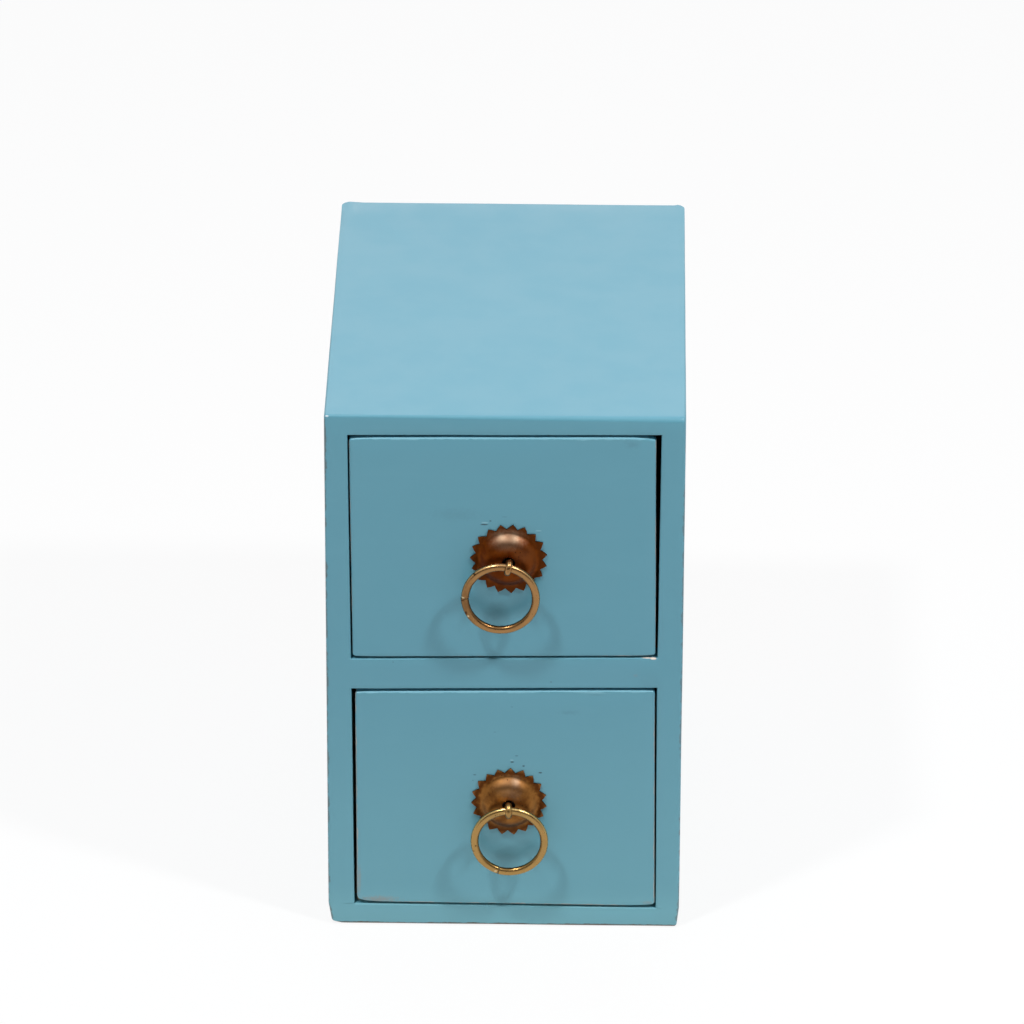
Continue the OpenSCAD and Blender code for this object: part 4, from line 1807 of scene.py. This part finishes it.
        with bench.edit(Pick.FACE):
            mesh = bmesh.from_edit_mesh(bench.piece.data)
            for vertex, place in zip(mesh.verts, placed(steps[0])):
                vertex.co = place
            bench.pick_all()
            for step in steps[1:]:
                bpy.ops.mesh.extrude_region_move()
                mesh = bmesh.from_edit_mesh(bench.piece.data)
                ends = [v for v in mesh.verts if v.select]
                for vertex, place in zip(ends, placed(step)):
                    vertex.co = place
                bmesh.update_edit_mesh(bench.piece.data)

    def dress(
        self, rosette: bpy.types.Object, pin: bpy.types.Object, ring: bpy.types.Object
    ) -> None:
        """Finishes the three pieces.

        Args:
            rosette: The rosette.
            pin: The split pin.
            ring: The ring.
        """
        name = self.drawer.value
        x, z = PULL_PLACES[self.drawer]
        rosette_brass = replace(self.rosette_brass, centre=(x, 0, z))
        ring_brass = replace(self.ring_brass, centre=self._ring_middle())
        for piece, brass, part, slot, body in (
            (rosette, rosette_brass, "rosette", Slot.DARK_BRASS, "drawer"),
            (pin, self.pin_brass, "split_pin", Slot.BRIGHT_BRASS, "drawer"),
            (ring, ring_brass, "ring", Slot.BRIGHT_BRASS, "pull"),
        ):
            dress(piece, brass.material(f"brass_{name}_{part}"), slot, f"{name}_{body}")
            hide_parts(f"{name}_{part}")


# ---- The studio


@dataclass(frozen=True)
class SoftLight:
    """A square or round light that faces the chest."""

    name: str
    direction: Point
    distance: float
    size: float
    power: float
    shape: str = "DISK"
    colour: Colour = (1.0, 1.0, 1.0)
    aim: Point = (0.0, 0.0, 0.12)

    def hang(self) -> None:
        """Hangs the light."""
        lamp = bpy.data.lights.new(self.name, "AREA")
        lamp.shape = self.shape
        lamp.size = self.size
        lamp.energy = self.power
        lamp.color = self.colour
        holder = bpy.data.objects.new(self.name, lamp)
        bpy.context.scene.collection.objects.link(holder)
        holder.visible_camera = False
        way = Vector(self.direction).normalized()
        holder.location = Vector(self.aim) + way * self.distance
        holder.rotation_euler = way.to_track_quat("Z", "Y").to_euler()


@dataclass
class Studio:
    """The pale floor, the lights and the camera."""

    floor_colour: Colour = (0.90, 0.90, 0.89)
    floor_whiteness: float = 0.88
    world_strength: float = 0.23
    room_shade: float = 0.88
    lights: tuple[SoftLight, ...] = (
        SoftLight("key_right", (0.486, -0.356, 0.798), 1.77, 0.15, 15.3),
        SoftLight("key_left", (-0.310, -0.373, 0.875), 1.775, 0.15, 14.2),
        SoftLight("overhead", (0.0, 0.35, 0.94), 2.0, 1.2, 5.5, "SQUARE", (0.92, 0.97, 1.2)),
        SoftLight("backdrop", (0.0, 0.9, 0.45), 2.2, 1.6, 5.6, "SQUARE"),
    )
    lens: float = 268.74
    azimuth: float = 0.870
    elevation: float = 27.481
    roll: float = 0.178
    distance: float = 3365.95 * MM
    aside: float = 1.854 * MM
    above: float = 128.76 * MM
    shift: Point = (0.0, -0.25 * MM, 0.40 * MM)

    def set_camera(self) -> None:
        """Sets the camera where the photograph was taken from."""
        az, el, roll = (math.radians(a) for a in (self.azimuth, self.elevation, self.roll))
        away = Vector((math.sin(az) * math.cos(el), -math.cos(az) * math.cos(el), math.sin(el)))
        level = Vector((math.cos(az), math.sin(az), 0))
        upright = away.cross(level)
        right = level * math.cos(roll) + upright * math.sin(roll)
        up = upright * math.cos(roll) - level * math.sin(roll)
        lens = bpy.data.cameras.new("camera")
        lens.lens = self.lens
        lens.sensor_width = 36.0
        lens.sensor_fit = "HORIZONTAL"
        lens.clip_start = 0.05
        lens.clip_end = 30.0
        camera = bpy.data.objects.new("camera", lens)
        bpy.context.scene.collection.objects.link(camera)
        place = away * self.distance + right * self.aside + up * self.above + Vector(self.shift)
        camera.matrix_world = Matrix(
            (
                (right.x, up.x, away.x, place.x),
                (right.y, up.y, away.y, place.y),
                (right.z, up.z, away.z, place.z),
                (0, 0, 0, 1),
            )
        )
        bpy.context.scene.camera = camera

    @staticmethod
    def _shown_white(
        w: Wiring, lit: bpy.types.Node, white: bpy.types.Node, share: float
    ) -> bpy.types.NodeSocket:
        """Returns a shader that the camera, metal and glass see as plain white.

        Args:
            w: The wiring.
            lit: The shader that lights the chest or is lit.
            white: The plain white one.
            share: The most that the white one may take.
        """
        rays = w.add("ShaderNodeLightPath").outputs
        seen = w.math("MAXIMUM", rays["Is Camera Ray"], rays["Is Glossy Ray"])
        seen = w.math("MAXIMUM", seen, rays["Is Transmission Ray"])
        share = w.math("MULTIPLY", seen, share)
        both = {0: share, 1: lit.outputs[0], 2: white.outputs[0]}
        return w.add("ShaderNodeMixShader", both).outputs[0]

    def set_floor(self) -> None:
        """Lays the pale floor."""
        deselect_all()
        bpy.ops.mesh.primitive_plane_add(size=12, location=(0, 0, -0.15 * MM))
        floor = bpy.context.view_layer.objects.active
        floor.name = "floor"
        material = bpy.data.materials.new("floor")
        material.use_nodes = True
        w = Wiring(material.node_tree)
        plain = w.add("ShaderNodeBsdfDiffuse", {"Color": self.floor_colour})
        white = w.add("ShaderNodeEmission", {"Color": WHITE, "Strength": 1.0})
        both = self._shown_white(w, plain, white, self.floor_whiteness)
        w.add("ShaderNodeOutputMaterial", {"Surface": both})
        floor.data.materials.append(material)

    def set_world(self) -> None:
        """Lights the room evenly, and shows it white."""
        world = bpy.data.worlds.new("room")
        world.use_nodes = True
        bpy.context.scene.world = world
        w = Wiring(world.node_tree)
        strength = self.world_strength
        light = w.add("ShaderNodeBackground", {"Color": WHITE, "Strength": strength})
        around = w.add("ShaderNodeTexCoord").outputs["Generated"]
        towards = w.add("ShaderNodeSeparateXYZ", {0: around}).outputs
        in_front = w.fit(towards["Y"], -0.15, -0.75)
        high = w.fit(towards["Z"], 0.35, 0.75)
        room = w.math("MULTIPLY", in_front, w.math("SUBTRACT", 1.0, high))
        seen = w.add("ShaderNodeLightPath").outputs["Is Camera Ray"]
        room = w.math("MULTIPLY", room, w.math("SUBTRACT", 1.0, seen))
        shade = w.math("SUBTRACT", 1.0, w.math("MULTIPLY", room, self.room_shade))
        white = w.add("ShaderNodeBackground", {"Color": WHITE, "Strength": shade})
        both = self._shown_white(w, light, white, 1.0)
        w.add("ShaderNodeOutputWorld", {"Surface": both})

    def build(self) -> None:
        """Sets up the whole studio."""
        self.set_camera()
        self.set_floor()
        self.set_world()
        for light in self.lights:
            light.hang()
        bpy.context.scene.view_settings.view_transform = "Standard"


# ---- What is built


def pulls() -> list[Pull]:
    """Returns the two ring pulls."""
    pit: Colour = (0.06, 0.03, 0.015)

    def wire(
        face: Colour, shade: float, marks: tuple[Mark, ...]
    ) -> tuple[BrassFinish, BrassFinish]:
        """Returns the finishes of a pin and a ring of the same wire.

        Args:
            face: The tone of the ring's face.
            shade: How dark its darker places are.
            marks: The marks on the ring.
        """
        inside = (0.60 * face[0], 0.58 * face[1], 0.55 * face[2])
        worn = (1.25 * face[0], 1.45 * face[1], 1.7 * face[2])

        def darker(colour: Colour) -> Colour:
            return (shade * colour[0], shade**1.3 * colour[1], shade**1.5 * colour[2])

        pin = BrassFinish(face, darker(face), pit, 0.28, 0.95, 0.03)
        bands = (Band(13.7 * MM, 0.4 * MM, face, 0.8), Band(15.8 * MM, 0.5 * MM, worn, 0.6))
        ring = BrassFinish(inside, darker(inside), pit, 0.27, 0.9, 0.03, bands, 0.15 * MM,
                           marks=marks)
        return pin, ring

    def nick(x: float, z: float, wide: float, high: float, colour: Colour) -> Mark:
        """Returns a mark on a hanging ring, given in millimetres."""
        return mark((x, -112.5, z), (wide, 4, high), colour, 0.85, 0.5, 0.5)

    # Painted glints: light spots that paint highlights on the rings, most of them at the seams.
    painted_glint: Colour = (0.66, 0.52, 0.32)
    dirt: Colour = (0.055, 0.022, 0.009)
    shadow = mark((-16.5, -112.3, 160), (9.5, 20, 16), (0.115, 0.055, 0.020), 0.62, 1.0, 1.2)
    # The upper ring's marks: nicks, painted glints and a painted shadow over its left half.
    upper_nicks_and_shade = (
        shadow,
        nick(-17.5, 163.9, 1.3, 0.5, painted_glint), nick(-17.4, 162.6, 1.3, 0.5, dirt),
        nick(-12.4, 174.9, 0.8, 0.6, dirt), nick(-15.9, 156.8, 0.8, 1.1, dirt),
        nick(-15.0, 155.2, 0.6, 0.6, painted_glint),
    )
    lower_nicks = (
        nick(-2.3, 31.4, 0.4, 1.5, dirt), nick(-3.4, 32.4, 0.9, 0.5, painted_glint),
        nick(-11.8, 44.6, 0.5, 0.6, dirt), nick(-12.6, 42.0, 0.4, 0.4, dirt),
    )

    # Rubbed brass, lighter; on the rosettes' upper shoulders it sits where the lamps' highlights
    # fall and so paints those highlights.
    rubbed: Colour = (0.30, 0.20, 0.13)
    dark: Colour = (0.085, 0.033, 0.010)

    def tone_patch(
        x: float, z: float, wide: float, high: float, strength: float, colour: Colour = rubbed
    ) -> Mark:
        """Returns a patch of another tone on a rosette, given in millimetres."""
        return mark((x, -106, z), (wide, 6, high), colour, strength, 1.0, 0.5)

    upper = BrassFinish(
        (0.150, 0.036, 0.0038), (0.098, 0.019, 0.002), (0.03, 0.009, 0.003), 0.46, 0.95, 0.02,
        (
            Band(11.6 * MM, 2.4 * MM, (0.090, 0.0225, 0.0034)),
            Band(14.4 * MM, 1.8 * MM, (0.14, 0.040, 0.008), 0.7),
        ),
        # Lighter patches: painted highlights on rubbed brass at the upper shoulder, and a faint
        # broad one that lightens the dome's right side.
        marks=(tone_patch(1.2, 187.4, 10.5, 6.2, 0.72), tone_patch(-1.4, 188.6, 2.8, 2.6, 0.9),
               tone_patch(4.2, 188.4, 2.6, 3.2, 0.9), tone_patch(7.0, 180.5, 7.0, 7.0, 0.12)),
    )
    lower = BrassFinish(
        (0.29, 0.122, 0.028), (0.155, 0.058, 0.013), (0.04, 0.014, 0.006), 0.44, 0.95, 0.02,
        (
            Band(11.8 * MM, 2.2 * MM, (0.098, 0.030, 0.0060)),
            Band(14.4 * MM, 1.8 * MM, (0.30, 0.120, 0.036), 0.8),
        ),
        # Lighter patches: a painted highlight on rubbed brass on the upper half; the dark patch
        # makes the lower part darker.
        marks=(tone_patch(2.2, 69.5, 9.5, 6.5, 0.36), tone_patch(4.9, 71.8, 2.8, 3.2, 0.75),
               tone_patch(3.5, 65.5, 6.0, 4.5, 0.4), tone_patch(2.1, 49.5, 13.0, 6.5, 0.75, dark)),
    )
    upper_wire = wire((0.370, 0.200, 0.078), 0.72, upper_nicks_and_shade)
    lower_wire = wire((0.420, 0.255, 0.088), 0.76, lower_nicks)
    return [
        Pull(Drawer.UPPER, 12.5, 84.3, 191, 4, upper, *upper_wire),
        Pull(Drawer.LOWER, -1.5, 88.0, 250, 9, lower, *lower_wire),
    ]


def fronts(carcass: Carcass) -> list[Front]:
    """Returns the two drawer fronts.

    Args:
        carcass: The case that they are cut to.
    """
    dark: Colour = (0.03, 0.085, 0.11)
    smudge: Colour = (0.088, 0.262, 0.335)
    light: Colour = (0.24, 0.46, 0.54)
    grime: Colour = (0.30, 0.265, 0.235)
    # Painted shade: the dark under each rosette's dome, round the pin hole, which shows through
    # the rosette's hole.
    shade_under_dome: Colour = (0.012, 0.008, 0.006)

    def spot(
        x: float, z: float, wide: float, high: float, colour: Colour, strength: float,
        softness: float = 0.5, raggedness: float = 0.7,
    ) -> Mark:
        """Returns a mark on the front plane, given in millimetres."""
        return mark((x, -104, z), (wide, 2.5, high), colour, strength, softness, raggedness)

    upper = (
        spot(-8.5, 193.5, 2.0, 0.42, dark, 1.0),
        spot(-8.2, 194.4, 1.7, 0.4, light, 0.7),
        spot(-6.0, 195.2, 0.6, 0.45, dark, 0.7),
        spot(-0.1, 197.2, 1.4, 0.3, dark, 0.25),
        spot(14.1, 190.8, 1.5, 0.3, light, 0.8),
        spot(14.1, 190.2, 1.3, 0.2, dark, 0.35),
        spot(-20, 198, 14, 4.5, smudge, 0.5, 1.0, 1.6),
        spot(53, 231.5, 4.5, 2.6, smudge, 0.8, 1.0, 1.6),
        # Painted shade under the upper rosette's dome.
        spot(1.7, 177.6, 7.5, 7.5, shade_under_dome, 1.0, 0.3, 0.2),
    )
    lower = (
        spot(3.4, 80.2, 1.0, 0.5, dark, 1.0),
        spot(3.3, 81.1, 1.1, 0.45, light, 0.8),
        spot(5.3, 83.2, 0.8, 0.35, dark, 0.6),
        spot(8.3, 78.3, 0.7, 0.5, dark, 0.9),
        spot(15.4, 75.1, 1.0, 0.5, dark, 1.0),
        spot(-12.4, 73.8, 0.9, 0.4, dark, 0.7),
        spot(-13.2, 71.1, 0.3, 0.4, dark, 0.5),
        spot(3.3, 106.8, 0.6, 0.3, dark, 0.3),
        spot(27.5, 104.4, 7, 1.6, smudge, 0.6, 1.0, 1.6),
        spot(38.5, 113.0, 4.6, 0.28, smudge, 0.9, 0.6),
        # Lighter strip along the top arris: a painted highlight that widens the arris highlight.
        spot(38, 113.9, 9, 0.6, light, 0.35, 0.8),
        spot(-3.9, 94.6, 0.8, 0.3, dark, 0.25),
        spot(-53, 12.3, 11.5, 2.2, grime, 0.6, 0.9, 2.2),
        spot(-61.6, 22, 1.0, 10, grime, 0.5, 0.9, 1.2),
        spot(61.5, 12, 3, 1.2, grime, 0.35, 0.9, 1.8),
        # Painted shade under the lower rosette's dome.
        spot(2.1, 61.2, 7.5, 7.5, shade_under_dome, 1.0, 0.3, 0.2),
    )
    return [
        Front(Drawer.UPPER, carcass, (0.7 * MM, 0.8 * MM, 2.4 * MM, 0.7 * MM),
              (1.3 * MM, 1.2 * MM, 1.4 * MM, 1.2 * MM), (0.4 * MM, 0.4 * MM, 0.9 * MM, 0.5 * MM),
              math.atan(2.1 / 150), 130.1 * MM, upper),
        Front(Drawer.LOWER, carcass, (1.2 * MM, 0.6 * MM, 0.9 * MM, 1.6 * MM),
              (2.4 * MM, 1.5 * MM, 1.3 * MM, 1.3 * MM), (0.8 * MM, 0.6 * MM, 0.2 * MM, 0.3 * MM),
              math.atan(-0.9 / 150), 9.7 * MM, lower, (0.55, 0.35, 0.4, 0.45),
              gap_top=1.3 * MM),
    ]


def main() -> None:
    """Builds the studio and the chest, piece by piece."""
    noise.seed_set(WAVE_SEED)
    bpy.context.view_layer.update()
    Studio().build()
    carcass = Carcass()
    carcass.dress(carcass.build())
    for front in fronts(carcass):
        front.dress(front.build())
    for drawer, seed in ((Drawer.UPPER, 1.0), (Drawer.LOWER, 2.6)):
        DrawerBox(drawer, seed).dress()
    for pull in pulls():
        pull.dress(pull.build_rosette(), pull.build_split_pin(), pull.build_ring())


if __name__ == "__main__":
    main()
